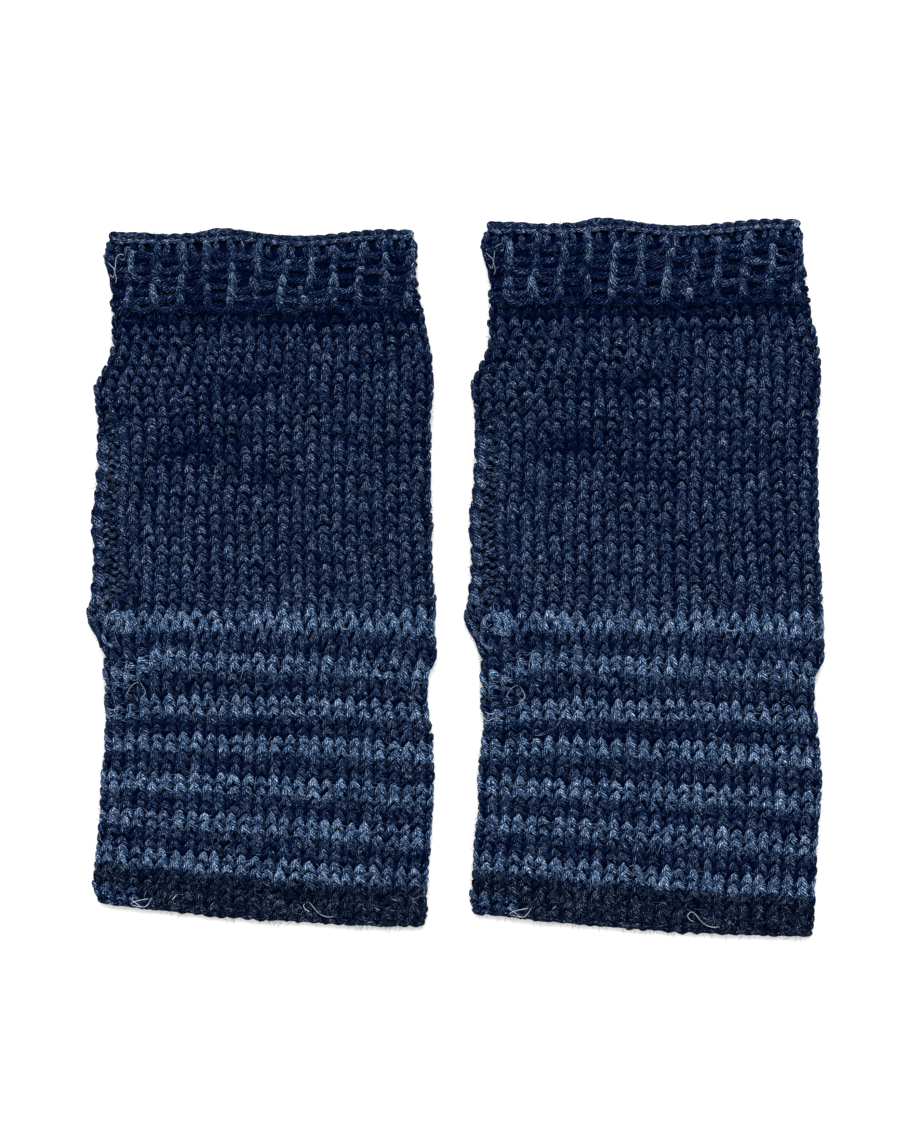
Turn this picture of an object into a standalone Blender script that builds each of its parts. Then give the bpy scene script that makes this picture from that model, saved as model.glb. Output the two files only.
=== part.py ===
"""A pair of fingerless, hand-knitted hand warmers, laid flat side by side.

Each one is a knitted tube pressed flat: a ribbed finger end with a bind-off chain, a plain hand
with the thumb slit open in its left fold, a striped wrist and a turned-under hem. The two layers
of the tube lie on each other, and the lower one rests on the surface at z = 0. Sizes are in
millimetres here and in metres in the scene. +X runs across the pair, +Y towards the fingers.
"""

import math
from dataclasses import astuple, dataclass, fields

import bmesh
import bpy
import numpy as np

MM = 0.001
SEAM_GAP = 0.3

# The right one is the same piece of knitting, a little larger.
LEFT_CENTRE = (-60.7, -0.1)
RIGHT_CENTRE = (57.7, -0.1)
LEFT_SCALE = 1.0
RIGHT_SCALE = 1.03

# Cloth
WALL = 2.1
HALF_GAP = 0.4
LEAST_GAP = 0.3
RIB_RISE = 0.9
RIB_PITCH = 7.9
FIRST_RIB = -40.6
FOLD_PLUMP = 0.35
PLUMP_WIDTH = 6.0
DROOP_SHARE = 0.16
DROOP_POWER = 1.2

# Courses, counted from the finger end, where each stretch begins and ends
RIB_END = 6.5
WRIST_START = 36.0
HEM_START = 62.5
SLIT_START = 15.5
SLIT_END = 35.5
COURSE_GAP = 0.1

# Cords
CHAIN_LINKS = 25
CHAIN_RADIUS = 1.15
CHAIN_WAIST = 0.9
CHAIN_FRONT_Z = 3.75
CHAIN_BACK_Z = 1.2
CHAIN_TURN = 0.35
THUMB_EDGE_STITCHES = 9
THUMB_EDGE_START = 18.2
THUMB_EDGE_END = 34.8
THUMB_EDGE_WIDTH = 2.6
THUMB_EDGE_HEIGHT = 1.0
THUMB_EDGE_WAIST = 0.72
THUMB_EDGE_Z = 4.35
THUMB_EDGE_INSET = 0.1

# Columns of faces round the tube
PLAIN_COLUMNS = 14
RIB_COLUMNS = 45
UNDER_COLUMNS = 8
RIGHT_FOLD_ANGLES = (45, 0, -45)
LEFT_FOLD_ANGLES = (225, 180, 150)
SLIT_FOLD_ANGLE = 120

RIB_COURSES = (0, 0.4, 2, 4, 6.1, RIB_END)
HAND_COURSES = (
    *(RIB_END + COURSE_GAP, 7.3, 9, 11, 12.5, 14),
    *(SLIT_START, 17, 19, 22, 25, 28, 31, 34, SLIT_END),
    WRIST_START - COURSE_GAP / 2,
)
WRIST_COURSES = (
    *(WRIST_START + COURSE_GAP / 2, 37, 38, 39, 40, 41, 42, 43.5),
    *(45, 47, 49, 51.5, 54, 57, 60, HEM_START - COURSE_GAP / 2),
)
HEM_COURSES = (HEM_START + COURSE_GAP / 2, 64, 65.2, 66)


@dataclass(frozen=True)
class Section:
    """One course of the flat tube: where its folds and its middle lie, and how high it stands."""

    course: float
    x_left: float
    x_right: float
    y_left: float
    y_middle: float
    y_right: float
    droop: float
    height: float


SECTIONS = (
    Section(0, -47.1, 48.2, 102.3, 102.6, 103.5, 0.0, 5.0),
    Section(1, -48.2, 48.7, 99.2, 99.5, 100.1, 0.0, 5.2),
    Section(3, -46.7, 48.8, 93.0, 93.3, 93.6, 0.0, 5.2),
    Section(5, -46.4, 49.9, 86.5, 86.8, 87.1, 0.0, 5.2),
    Section(6.5, -46.0, 50.7, 81.8, 82.2, 82.5, 0.0, 5.0),
    Section(8, -46.5, 51.3, 76.9, 77.5, 77.8, 0.0, 5.0),
    Section(9.5, -46.2, 52.5, 72.2, 72.5, 72.8, 0.0, 5.0),
    Section(11, -47.3, 53.2, 67.3, 67.9, 68.2, 0.0, 5.0),
    Section(12.5, -49.6, 53.6, 62.3, 62.9, 63.5, 0.0, 5.0),
    Section(14, -51.5, 53.9, 57.7, 58.3, 58.9, 0.0, 5.0),
    Section(15.5, -51.0, 53.6, 53.0, 53.6, 54.2, 0.0, 5.0),
    Section(17, -50.4, 53.3, 48.0, 48.7, 49.3, 0.0, 5.0),
    Section(20, -50.3, 53.2, 38.8, 39.1, 39.7, 0.0, 5.0),
    Section(24, -51.0, 53.3, 26.0, 26.4, 27.0, 0.0, 5.0),
    Section(27, -52.1, 53.6, 16.4, 16.7, 17.4, 0.0, 5.0),
    Section(30, -51.5, 53.6, 6.8, 7.1, 7.4, 0.0, 5.0),
    Section(33, -51.9, 54.4, -2.5, -2.5, -2.5, 0.0, 5.0),
    Section(35.5, -53.0, 54.7, -9.9, -9.6, -10.2, 0.0, 5.0),
    Section(37, -53.5, 54.6, -13.9, -13.3, -14.6, 0.0, 5.0),
    Section(38, -51.1, 54.9, -17.1, -16.7, -18.3, 1.2, 5.0),
    Section(39, -49.1, 54.9, -19.8, -20.1, -22.0, 4.0, 5.0),
    Section(40, -48.7, 54.6, -22.3, -23.6, -25.7, 7.1, 5.0),
    Section(41, -48.4, 52.7, -24.8, -27.0, -29.1, 9.3, 5.0),
    Section(42, -48.5, 52.2, -28.5, -30.4, -32.5, 8.7, 5.0),
    Section(45, -47.8, 52.5, -40.0, -40.9, -41.9, 3.7, 5.0),
    Section(47, -48.0, 53.8, -45.6, -46.8, -48.4, 1.9, 4.9),
    Section(49, -48.4, 54.1, -51.1, -52.4, -55.2, 0.9, 5.0),
    Section(53, -49.4, 53.9, -63.2, -65.4, -68.5, 0.0, 5.0),
    Section(57, -50.0, 52.9, -74.4, -77.5, -81.8, 0.0, 5.0),
    Section(61, -51.1, 52.2, -85.6, -90.5, -94.2, 0.0, 5.0),
    Section(63, -51.7, 51.9, -91.8, -96.7, -99.8, 0.0, 4.8),
    Section(64.5, -51.9, 51.9, -96.4, -101.7, -104.2, 0.0, 4.4),
    Section(66, -50.6, 50.8, -100.8, -105.9, -107.9, 0.0, 3.4),
)


@dataclass(frozen=True)
class EdgePoint:
    """Where the bind-off chain's middle runs, at a share of the width from the left fold."""

    across: float
    y: float


FRONT_CHAIN = (
    EdgePoint(0.0, 103.5),
    EdgePoint(0.17, 103.5),
    EdgePoint(0.3, 104.2),
    EdgePoint(0.42, 104.9),
    EdgePoint(0.52, 103.8),
    EdgePoint(0.65, 103.1),
    EdgePoint(0.78, 104.2),
    EdgePoint(0.9, 105.2),
    EdgePoint(1.0, 105.2),
)
BACK_CHAIN = (
    EdgePoint(0.0, 105.4),
    EdgePoint(0.08, 105.2),
    EdgePoint(0.18, 104.9),
    EdgePoint(0.27, 105.6),
    EdgePoint(0.34, 107.1),
    EdgePoint(0.42, 106.6),
    EdgePoint(0.52, 105.2),
    EdgePoint(0.65, 104.8),
    EdgePoint(0.8, 105.3),
    EdgePoint(0.92, 106.4),
    EdgePoint(1.0, 106.0),
)


@dataclass(frozen=True)
class SlitRow:
    """How far the front layer's edge stands in from the left fold, along the thumb slit."""

    course: float
    front_edge: float


SLIT = (
    SlitRow(15.5, 2.6),
    SlitRow(17, 6.0),
    SlitRow(20, 7.3),
    SlitRow(25, 8.4),
    SlitRow(30, 8.6),
    SlitRow(33, 9.2),
    SlitRow(34.6, 10.4),
    SlitRow(35.5, 2.6),
)

# The back layer's edge along the slit, from the fold to its top rim, as (x from the fold, z)
BACK_EDGE_OUTER = ((0.8, 0.6), (0.0, 1.8), (0.5, 3.0))
BACK_EDGE_INNER = ((2.6, 2.0), (2.2, 2.3), (2.3, 3.0))
FRONT_EDGE_DIP = 0.7
FRONT_EDGE_DIP_WIDTH = 3.0


@dataclass(frozen=True)
class Trough:
    """A soft dent or crease in the front layer."""

    x: float
    y: float
    half_length: float
    half_width: float
    turn: float
    depth: float


TROUGHS = (
    Trough(2.0, 80.0, 90.0, 2.4, 0.0, 0.6),
    Trough(-22.0, 40.0, 12.0, 4.2, 8.5, 0.75),
    Trough(-1.5, 31.5, 7.5, 3.4, -10.0, 0.5),
    Trough(-6.0, 58.5, 14.0, 4.0, 8.0, 0.5),
    Trough(40.0, 38.0, 9.0, 4.0, 5.0, 0.35),
    Trough(49.0, 59.0, 3.5, 6.0, 0.0, 0.4),
    Trough(-10.0, -46.5, 28.0, 3.0, -3.0, 0.5),
)


def smooth_curve(knots, values, at):
    """Reads a smooth curve through the knots: each stretch is a cubic with the neighbours' slopes."""
    knots = np.asarray(knots, float)
    values = np.asarray(values, float)
    slopes = np.gradient(values, knots)
    at = min(max(at, knots[0]), knots[-1])
    i = min(int(np.searchsorted(knots, at, side="right")) - 1, len(knots) - 2)
    span = knots[i + 1] - knots[i]
    t = (at - knots[i]) / span
    start = (1 + 2 * t) * (1 - t) ** 2 * values[i] + t * (1 - t) ** 2 * span * slopes[i]
    end = t * t * (3 - 2 * t) * values[i + 1] - t * t * (1 - t) * span * slopes[i + 1]
    return float(start + end)


def section_at(course):
    """The section of any course, read from smooth curves through the table."""
    table = np.array([astuple(section) for section in SECTIONS])
    read = [smooth_curve(table[:, 0], table[:, i], course) for i in range(1, len(fields(Section)))]
    return Section(course, *read)


def edge_y(points, across):
    """Height of the bind-off chain on the page at a share of the width."""
    return smooth_curve([point.across for point in points], [point.y for point in points], across)


def straight_y(section, across):
    """Where a course would run if nothing sagged: a parabola through its two folds and its middle."""
    left = section.y_left * (1 - across) * (1 - 2 * across)
    middle = section.y_middle * 4 * across * (1 - across)
    right = section.y_right * across * (2 * across - 1)
    return left + middle + right


def course_y(section, across, layer):
    """Where a course runs, at a share of the width. Layer is 0 on the back and 1 on the front."""
    hang = section.droop * max(0.0, 1 - across / DROOP_SHARE) ** DROOP_POWER
    fade = max(0.0, 1 - section.course / RIB_END)
    chain = edge_y(BACK_CHAIN, across) * (1 - layer) + edge_y(FRONT_CHAIN, across) * layer
    rim = chain - CHAIN_RADIUS - SEAM_GAP
    return straight_y(section, across) - hang + fade * (rim - straight_y(SECTIONS[0], across))


def dent(x, y):
    """How far the front layer sinks at a point."""
    total = 0.0
    for trough in TROUGHS:
        turn = math.radians(trough.turn)
        along = (x - trough.x) * math.cos(turn) + (y - trough.y) * math.sin(turn)
        over = (y - trough.y) * math.cos(turn) - (x - trough.x) * math.sin(turn)
        spread = (along / trough.half_length) ** 2 + (over / trough.half_width) ** 2
        total += trough.depth * math.exp(-spread)
    return total


def plump(distance):
    """Extra height near a fold, where the cloth doesn't press quite flat."""
    share = distance / PLUMP_WIDTH
    return FOLD_PLUMP * share * math.exp(1 - share)


def rib(x):
    """Height of the rib's knit columns over its purl ones."""
    return RIB_RISE * (0.5 + 0.5 * math.cos(2 * math.pi * (x - FIRST_RIB) / RIB_PITCH))


def front_edge(course):
    """How far the front layer's edge stands in from the left fold at a course of the slit."""
    return smooth_curve([row.course for row in SLIT], [row.front_edge for row in SLIT], course)


def ring(course, ribbed=False):
    """One course's outer and inner points round the tube, from the front layer's left edge."""
    section = section_at(course)
    radius = section.height / 2
    wall = min(WALL, radius - HALF_GAP)
    inner_radius = radius - wall
    left = section.x_left
    right = section.x_right
    in_slit = SLIT_START < course < SLIT_END
    top_start = left + (front_edge(course) if in_slit else radius)
    outer = []
    inner = []

    def add(outer_x, outer_z, inner_x, inner_z, layer):
        for points, x, z in ((outer, outer_x, outer_z), (inner, inner_x, inner_z)):
            across = min(max((x - left) / (right - left), 0.0), 1.0)
            points.append((x, course_y(section, across, layer), z))

    def add_fold(centre_x, angles):
        for angle in angles:
            c, s = math.cos(math.radians(angle)), math.sin(math.radians(angle))
            layer = min(max(0.5 + s * section.height / (2 * (CHAIN_FRONT_Z - CHAIN_BACK_Z)), 0.0), 1.0)
            outer_x, outer_z = centre_x + radius * c, radius + radius * s
            add(outer_x, outer_z, centre_x + inner_radius * c, radius + inner_radius * s, layer)

    columns = RIB_COLUMNS if ribbed else PLAIN_COLUMNS
    for k in range(columns + 1):
        x = top_start + (right - radius - top_start) * k / columns
        across = (x - left) / (right - left)
        z = section.height + plump(x - top_start) + plump(right - radius - x)
        z -= dent(x, course_y(section, across, 1))
        if in_slit:
            z -= FRONT_EDGE_DIP * math.exp(-(x - top_start) / FRONT_EDGE_DIP_WIDTH)
        add(x, z + (rib(x) if ribbed else 0.0), x, max(z - wall, wall + LEAST_GAP), 1)
    add_fold(right - radius, RIGHT_FOLD_ANGLES)
    for k in range(UNDER_COLUMNS + 1):
        x = right - radius + (left - right + 2 * radius) * k / UNDER_COLUMNS
        add(x, 0.0, x, wall, 0)
    if in_slit:
        for (outer_x, outer_z), (inner_x, inner_z) in zip(BACK_EDGE_OUTER, BACK_EDGE_INNER):
            add(left + outer_x, outer_z, left + inner_x, inner_z, 0)
    else:
        add_fold(left + radius, LEFT_FOLD_ANGLES)
    add_fold(left + radius, (SLIT_FOLD_ANGLE,))
    return outer, inner


def shell(courses, ribbed=False):
    """Vertices and faces of a stretch of the tube, with its wall's thickness and its open ends."""
    rings = [ring(course, ribbed) for course in courses]
    around = len(rings[0][0])
    vertices = [point for outer, inner in rings for point in outer + inner]
    # The last two columns lie between the back layer's edge and the front one's.
    open_columns = {around - 2, around - 1}
    cells = {
        (row, column)
        for row in range(len(courses) - 1)
        for column in range(around)
        if not (
            column in open_columns
            and courses[row] >= SLIT_START
            and courses[row + 1] <= SLIT_END
        )
    }

    def at(row, column, side):
        return (2 * row + side) * around + column % around

    faces = []
    for row, column in sorted(cells):
        corners = ((row, column), (row, column + 1), (row + 1, column + 1), (row + 1, column))
        faces.append([at(r, c, 0) for r, c in corners])
        faces.append([at(r, c, 1) for r, c in reversed(corners)])
        beside = (
            (row - 1, column),
            (row, (column + 1) % around),
            (row + 1, column),
            (row, (column - 1) % around),
        )
        for side, neighbour in enumerate(beside):
            if neighbour not in cells:
                (r0, c0), (r1, c1) = corners[side], corners[(side + 1) % 4]
                faces.append([at(r0, c0, 1), at(r1, c1, 1), at(r1, c1, 0), at(r0, c0, 0)])
    return vertices, faces


def cord(centres, half_sizes, reference, closed):
    """Vertices and faces of a cord of six sides. Half sizes are (across, along the reference)."""
    count = len(centres)
    vertices = []
    for k, centre in enumerate(centres):
        before = np.array(centres[(k - 1) % count if closed else max(k - 1, 0)])
        after = np.array(centres[(k + 1) % count if closed else min(k + 1, count - 1)])
        tangent = (after - before) / np.linalg.norm(after - before)
        up = reference - tangent * np.dot(reference, tangent)
        up /= np.linalg.norm(up)
        side = np.cross(tangent, up)
        across, high = half_sizes[k]
        for corner in range(6):
            angle = math.pi * corner / 3
            offset = side * across * math.cos(angle) + up * high * math.sin(angle)
            vertices.append(tuple(np.array(centre) + offset))
    faces = []
    for k in range(count if closed else count - 1):
        here = 6 * k
        there = 6 * ((k + 1) % count)
        for corner in range(6):
            beside = (corner + 1) % 6
            faces.append([here + corner, here + beside, there + beside, there + corner])
    if not closed:
        faces.append(list(range(6)))
        faces.append(list(range(6 * count - 6, 6 * count)))
    return vertices, faces


def bind_off():
    """The chain round the finger opening: its front half lies on top of its back half."""
    first = section_at(0)
    inset = CHAIN_RADIUS + SEAM_GAP
    width = first.x_right - first.x_left
    centres = []
    half_sizes = []

    def add(across, z, layer, high):
        x = first.x_left + inset + (width - 2 * inset) * across
        y = edge_y(FRONT_CHAIN, across) * layer + edge_y(BACK_CHAIN, across) * (1 - layer)
        centres.append((x, y, z))
        half_sizes.append((high, high))

    middle_z = (CHAIN_FRONT_Z + CHAIN_BACK_Z) / 2
    for z, layer, shares in (
        (CHAIN_FRONT_Z, 1, range(2 * CHAIN_LINKS + 1)),
        (CHAIN_BACK_Z, 0, range(2 * CHAIN_LINKS, -1, -1)),
    ):
        for k in shares:
            add(k / (2 * CHAIN_LINKS), z, layer, CHAIN_WAIST if k % 2 == 0 else CHAIN_RADIUS)
        end = shares[-1] / (2 * CHAIN_LINKS)
        bulge = CHAIN_TURN if end else -CHAIN_TURN
        add(end, middle_z, 0.5, CHAIN_WAIST)
        x, y, middle = centres[-1]
        centres[-1] = (x + bulge, y, middle)
    return cord(centres, half_sizes, np.array((0.0, 1.0, 0.0)), closed=True)


def thumb_edge():
    """The slanted edge stitches of the back layer, standing up along the slit."""
    centres = []
    half_sizes = []
    rings = 2 * THUMB_EDGE_STITCHES
    for k in range(rings + 1):
        course = THUMB_EDGE_START + (THUMB_EDGE_END - THUMB_EDGE_START) * k / rings
        section = section_at(course)
        swell = THUMB_EDGE_WAIST if k % 2 == 0 else 1.0
        x = section.x_left + THUMB_EDGE_WIDTH + THUMB_EDGE_INSET
        centres.append((x, course_y(section, 0.0, 1), THUMB_EDGE_Z))
        half_sizes.append((THUMB_EDGE_WIDTH * swell, THUMB_EDGE_HEIGHT * (1 + swell) / 2))
    return cord(centres, half_sizes, np.array((0.0, 0.0, 1.0)), closed=False)


def wool(name, colour):
    """A matt wool material."""
    material = bpy.data.materials.new(name)
    material.use_nodes = True
    shader = material.node_tree.nodes["Principled BSDF"]
    shader.inputs["Base Color"].default_value = (*colour, 1.0)
    shader.inputs["Roughness"].default_value = 0.9
    shader.inputs["Metallic"].default_value = 0.0
    return material


def add_solid(name, shape, centre, scale, material):
    """Makes one named object from vertices and faces in the warmer's own millimetres."""
    vertices, faces = shape
    placed = [
        (
            (centre[0] + scale * x) * MM,
            (centre[1] + scale * y) * MM,
            scale * z * MM,
        )
        for x, y, z in vertices
    ]
    mesh = bpy.data.meshes.new(name)
    mesh.from_pydata(placed, [], faces)
    work = bmesh.new()
    work.from_mesh(mesh)
    bmesh.ops.delete(work, geom=[v for v in work.verts if not v.link_faces], context="VERTS")
    bmesh.ops.recalc_face_normals(work, faces=work.faces)
    if work.calc_volume(signed=True) < 0:
        bmesh.ops.reverse_faces(work, faces=work.faces)
    work.to_mesh(mesh)
    work.free()
    mesh.shade_smooth()
    mesh.set_sharp_from_angle(angle=math.radians(50))
    mesh.materials.append(material)
    bpy.context.scene.collection.objects.link(bpy.data.objects.new(name, mesh))


def main():
    """Clears the scene and builds both hand warmers."""
    for old in list(bpy.data.objects):
        bpy.data.objects.remove(old, do_unlink=True)
    navy = wool("navy_wool", (0.022, 0.04, 0.09))
    striped = wool("striped_wool", (0.045, 0.075, 0.15))
    pieces = (
        ("rib_cuff", shell(RIB_COURSES, ribbed=True), navy),
        ("bind_off", bind_off(), navy),
        ("hand", shell(HAND_COURSES), navy),
        ("thumb_edge", thumb_edge(), navy),
        ("wrist", shell(WRIST_COURSES), striped),
        ("hem", shell(HEM_COURSES), striped),
    )
    for side, centre, scale in (
        ("left", LEFT_CENTRE, LEFT_SCALE),
        ("right", RIGHT_CENTRE, RIGHT_SCALE),
    ):
        for name, shape, material in pieces:
            add_solid(f"{side}_{name}", shape, centre, scale, material)


if __name__ == "__main__":
    main()
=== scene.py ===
"""Looks of a pair of hand-knitted hand warmers, laid flat side by side on a pale floor.

Each one is a knitted tube pressed flat. A thin cloth, nearly black as painted shade where it shows
between the loops, carries every row of yarn loops, which are laid on the tube's own surface: a
ribbed finger end, a plain hand, a striped wrist and a turned hem. Tables are in millimetres, in a
hand warmer's own frame, and meshes in metres.
counted from the finger end, and stitches round the tube, from the left fold over the front. +X
runs across the pair, +Y towards the fingers and +Z up.
"""

import logging
import math
from collections.abc import Sequence
from dataclasses import dataclass, field, fields, replace
from enum import Enum

import bmesh
import bpy
import numpy as np
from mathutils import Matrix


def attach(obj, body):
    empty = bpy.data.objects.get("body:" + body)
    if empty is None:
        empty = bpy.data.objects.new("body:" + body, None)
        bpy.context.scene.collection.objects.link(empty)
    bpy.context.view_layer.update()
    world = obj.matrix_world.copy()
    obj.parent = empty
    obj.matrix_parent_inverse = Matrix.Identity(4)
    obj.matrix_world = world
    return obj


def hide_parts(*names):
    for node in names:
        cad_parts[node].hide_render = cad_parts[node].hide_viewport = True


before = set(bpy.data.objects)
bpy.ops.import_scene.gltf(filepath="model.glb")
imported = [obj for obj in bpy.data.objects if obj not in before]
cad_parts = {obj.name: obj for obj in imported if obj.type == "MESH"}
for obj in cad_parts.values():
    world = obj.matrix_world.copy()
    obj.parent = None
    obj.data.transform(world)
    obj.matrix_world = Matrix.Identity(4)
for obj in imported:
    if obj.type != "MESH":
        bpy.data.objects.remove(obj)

Array = np.ndarray
Colour = tuple[float, float, float]
Material = bpy.types.Material
NodeTree = bpy.types.NodeTree
Object = bpy.types.Object
Socket = bpy.types.NodeSocket
MM = 0.001
LOG = logging.getLogger("hand_warmers")


# The form of the flat tube

@dataclass(frozen=True)
class Section:
    """One course of the flat tube: where its folds and its middle lie, and how high it stands."""

    course: float
    x_left: float
    x_right: float
    y_left: float
    y_middle: float
    y_right: float
    droop: float
    height: float


SECTIONS = (
    Section(0, -47.1, 48.2, 102.3, 102.6, 103.5, 0.0, 5.0),
    Section(1, -48.2, 48.7, 99.2, 99.5, 100.1, 0.0, 5.2),
    Section(3, -46.7, 48.8, 93.0, 93.3, 93.6, 0.0, 5.2),
    Section(5, -46.4, 49.9, 86.5, 86.8, 87.1, 0.0, 5.2),
    Section(6.5, -46.0, 50.7, 81.8, 82.2, 82.5, 0.0, 5.0),
    Section(8, -46.5, 51.3, 76.9, 77.5, 77.8, 0.0, 5.0),
    Section(9.5, -46.2, 52.5, 72.2, 72.5, 72.8, 0.0, 5.0),
    Section(11, -47.3, 53.2, 67.3, 67.9, 68.2, 0.0, 5.0),
    Section(12.5, -49.6, 53.6, 62.3, 62.9, 63.5, 0.0, 5.0),
    Section(14, -51.5, 53.9, 57.7, 58.3, 58.9, 0.0, 5.0),
    Section(15.5, -51.0, 53.6, 53.0, 53.6, 54.2, 0.0, 5.0),
    Section(17, -50.4, 53.3, 48.0, 48.7, 49.3, 0.0, 5.0),
    Section(20, -50.3, 53.2, 38.8, 39.1, 39.7, 0.0, 5.0),
    Section(24, -51.0, 53.3, 26.0, 26.4, 27.0, 0.0, 5.0),
    Section(27, -52.1, 53.6, 16.4, 16.7, 17.4, 0.0, 5.0),
    Section(30, -51.5, 53.6, 6.8, 7.1, 7.4, 0.0, 5.0),
    Section(33, -51.9, 54.4, -2.5, -2.5, -2.5, 0.0, 5.0),
    Section(35.5, -53.0, 54.7, -9.9, -9.6, -10.2, 0.0, 5.0),
    Section(37, -53.5, 54.6, -13.9, -13.3, -14.6, 0.0, 5.0),
    Section(38, -51.1, 54.9, -17.1, -16.7, -18.3, 1.2, 5.0),
    Section(39, -49.1, 54.9, -19.8, -20.1, -22.0, 4.0, 5.0),
    Section(40, -48.7, 54.6, -22.3, -23.6, -25.7, 7.1, 5.0),
    Section(41, -48.4, 52.7, -24.8, -27.0, -29.1, 9.3, 5.0),
    Section(42, -48.5, 52.2, -28.5, -30.4, -32.5, 8.7, 5.0),
    Section(45, -47.8, 52.5, -40.0, -40.9, -41.9, 3.7, 5.0),
    Section(47, -48.0, 53.8, -45.6, -46.8, -48.4, 1.9, 4.9),
    Section(49, -48.4, 54.1, -51.1, -52.4, -55.2, 0.9, 5.0),
    Section(53, -49.4, 53.9, -63.2, -65.4, -68.5, 0.0, 5.0),
    Section(57, -50.0, 52.9, -74.4, -77.5, -81.8, 0.0, 5.0),
    Section(61, -51.1, 52.2, -85.6, -90.5, -94.2, 0.0, 5.0),
    Section(63, -51.7, 51.9, -91.8, -96.7, -99.8, 0.0, 4.8),
    Section(64.5, -51.9, 51.9, -96.4, -101.7, -104.2, 0.0, 4.4),
    Section(66, -50.6, 50.8, -100.8, -105.9, -107.9, 0.0, 3.4),
)
COLUMNS = {
    item.name: np.array([getattr(row, item.name) for row in SECTIONS], float) for item in fields(Section)
}

# The bind-off chain's middle, as (share of the width, y)
FRONT_CHAIN = np.array([
    (0.0, 104.0), (0.17, 103.8), (0.3, 104.3), (0.42, 104.9), (0.52, 103.8),
    (0.65, 103.1), (0.78, 104.2), (0.9, 105.2), (1.0, 105.2),
])
BACK_CHAIN = np.array([
    (0.0, 105.9), (0.08, 105.8), (0.18, 104.9), (0.27, 105.6), (0.34, 107.1), (0.42, 106.6),
    (0.52, 105.2), (0.65, 104.8), (0.8, 105.3), (0.92, 106.4), (1.0, 106.0),
])
# How far the front layer's edge stands in from the left fold along the slit, as (course, mm)
FRONT_EDGE = np.array([
    (15.5, 2.6), (17, 6.0), (20, 7.3), (25, 8.4), (30, 8.6), (33, 9.2), (34.6, 10.4), (35.5, 2.6),
])


@dataclass(frozen=True)
class Trough:
    """A soft dent or crease in the front layer. Its turn is in degrees."""

    x: float
    y: float
    half_length: float
    half_width: float
    turn: float
    depth: float


# The creases, then the dark pit at the slit's lower end and the creases' darkest spots
TROUGHS = (
    Trough(2.0, 80.0, 90.0, 2.4, 0.0, 0.6),
    Trough(-22.0, 40.0, 12.0, 4.2, 8.5, 0.75),
    Trough(-1.5, 31.5, 7.5, 3.4, -10.0, 0.5),
    Trough(-6.0, 58.5, 14.0, 4.0, 8.0, 0.5),
    Trough(40.0, 38.0, 9.0, 4.0, 5.0, 0.35),
    Trough(49.0, 59.0, 3.5, 6.0, 0.0, 0.4),
    Trough(-10.0, -46.5, 28.0, 3.0, -3.0, 0.5),
    Trough(-40.0, -7.8, 2.4, 3.8, 0.0, 1.3),
    Trough(-19.5, 38.8, 6.5, 1.7, 8.0, 0.45),
    Trough(3.5, 31.0, 6.5, 1.7, -9.0, 0.4),
    Trough(-8.0, 43.6, 6.0, 1.5, 6.0, 0.3),
    Trough(-27.5, 58.3, 6.0, 1.7, 4.0, 0.35),
    Trough(-2.0, 57.5, 7.0, 1.6, 5.0, 0.35),
)

# Where each stretch begins and ends, in courses
RIB_END = 6.5
SLIT_START = 15.5
SLIT_END = 35.5
WRIST_START = 36.0
HEM_START = 64.0
HEM_END = 66.0
CLOTH_END = 66.2
# Stitches round the tube
STITCHES = 50


def smooth_curve(knots: Array, values: Array, at: Array) -> Array:
    """Reads a smooth curve through the knots.

    Args:
        knots: Rising positions of the knots.
        values: The value at each knot.
        at: Positions to read, held to the knots' range.

    Returns:
        The values there, on cubics whose slopes are the neighbours'.
    """
    slopes = np.gradient(values, knots)
    at = np.clip(at, knots[0], knots[-1])
    i = np.clip(np.searchsorted(knots, at, side="right") - 1, 0, len(knots) - 2)
    span = knots[i + 1] - knots[i]
    t = (at - knots[i]) / span
    start = (1 + 2 * t) * (1 - t) ** 2 * values[i] + t * (1 - t) ** 2 * span * slopes[i]
    end = t * t * (3 - 2 * t) * values[i + 1] - t * t * (1 - t) * span * slopes[i + 1]
    return start + end


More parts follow.
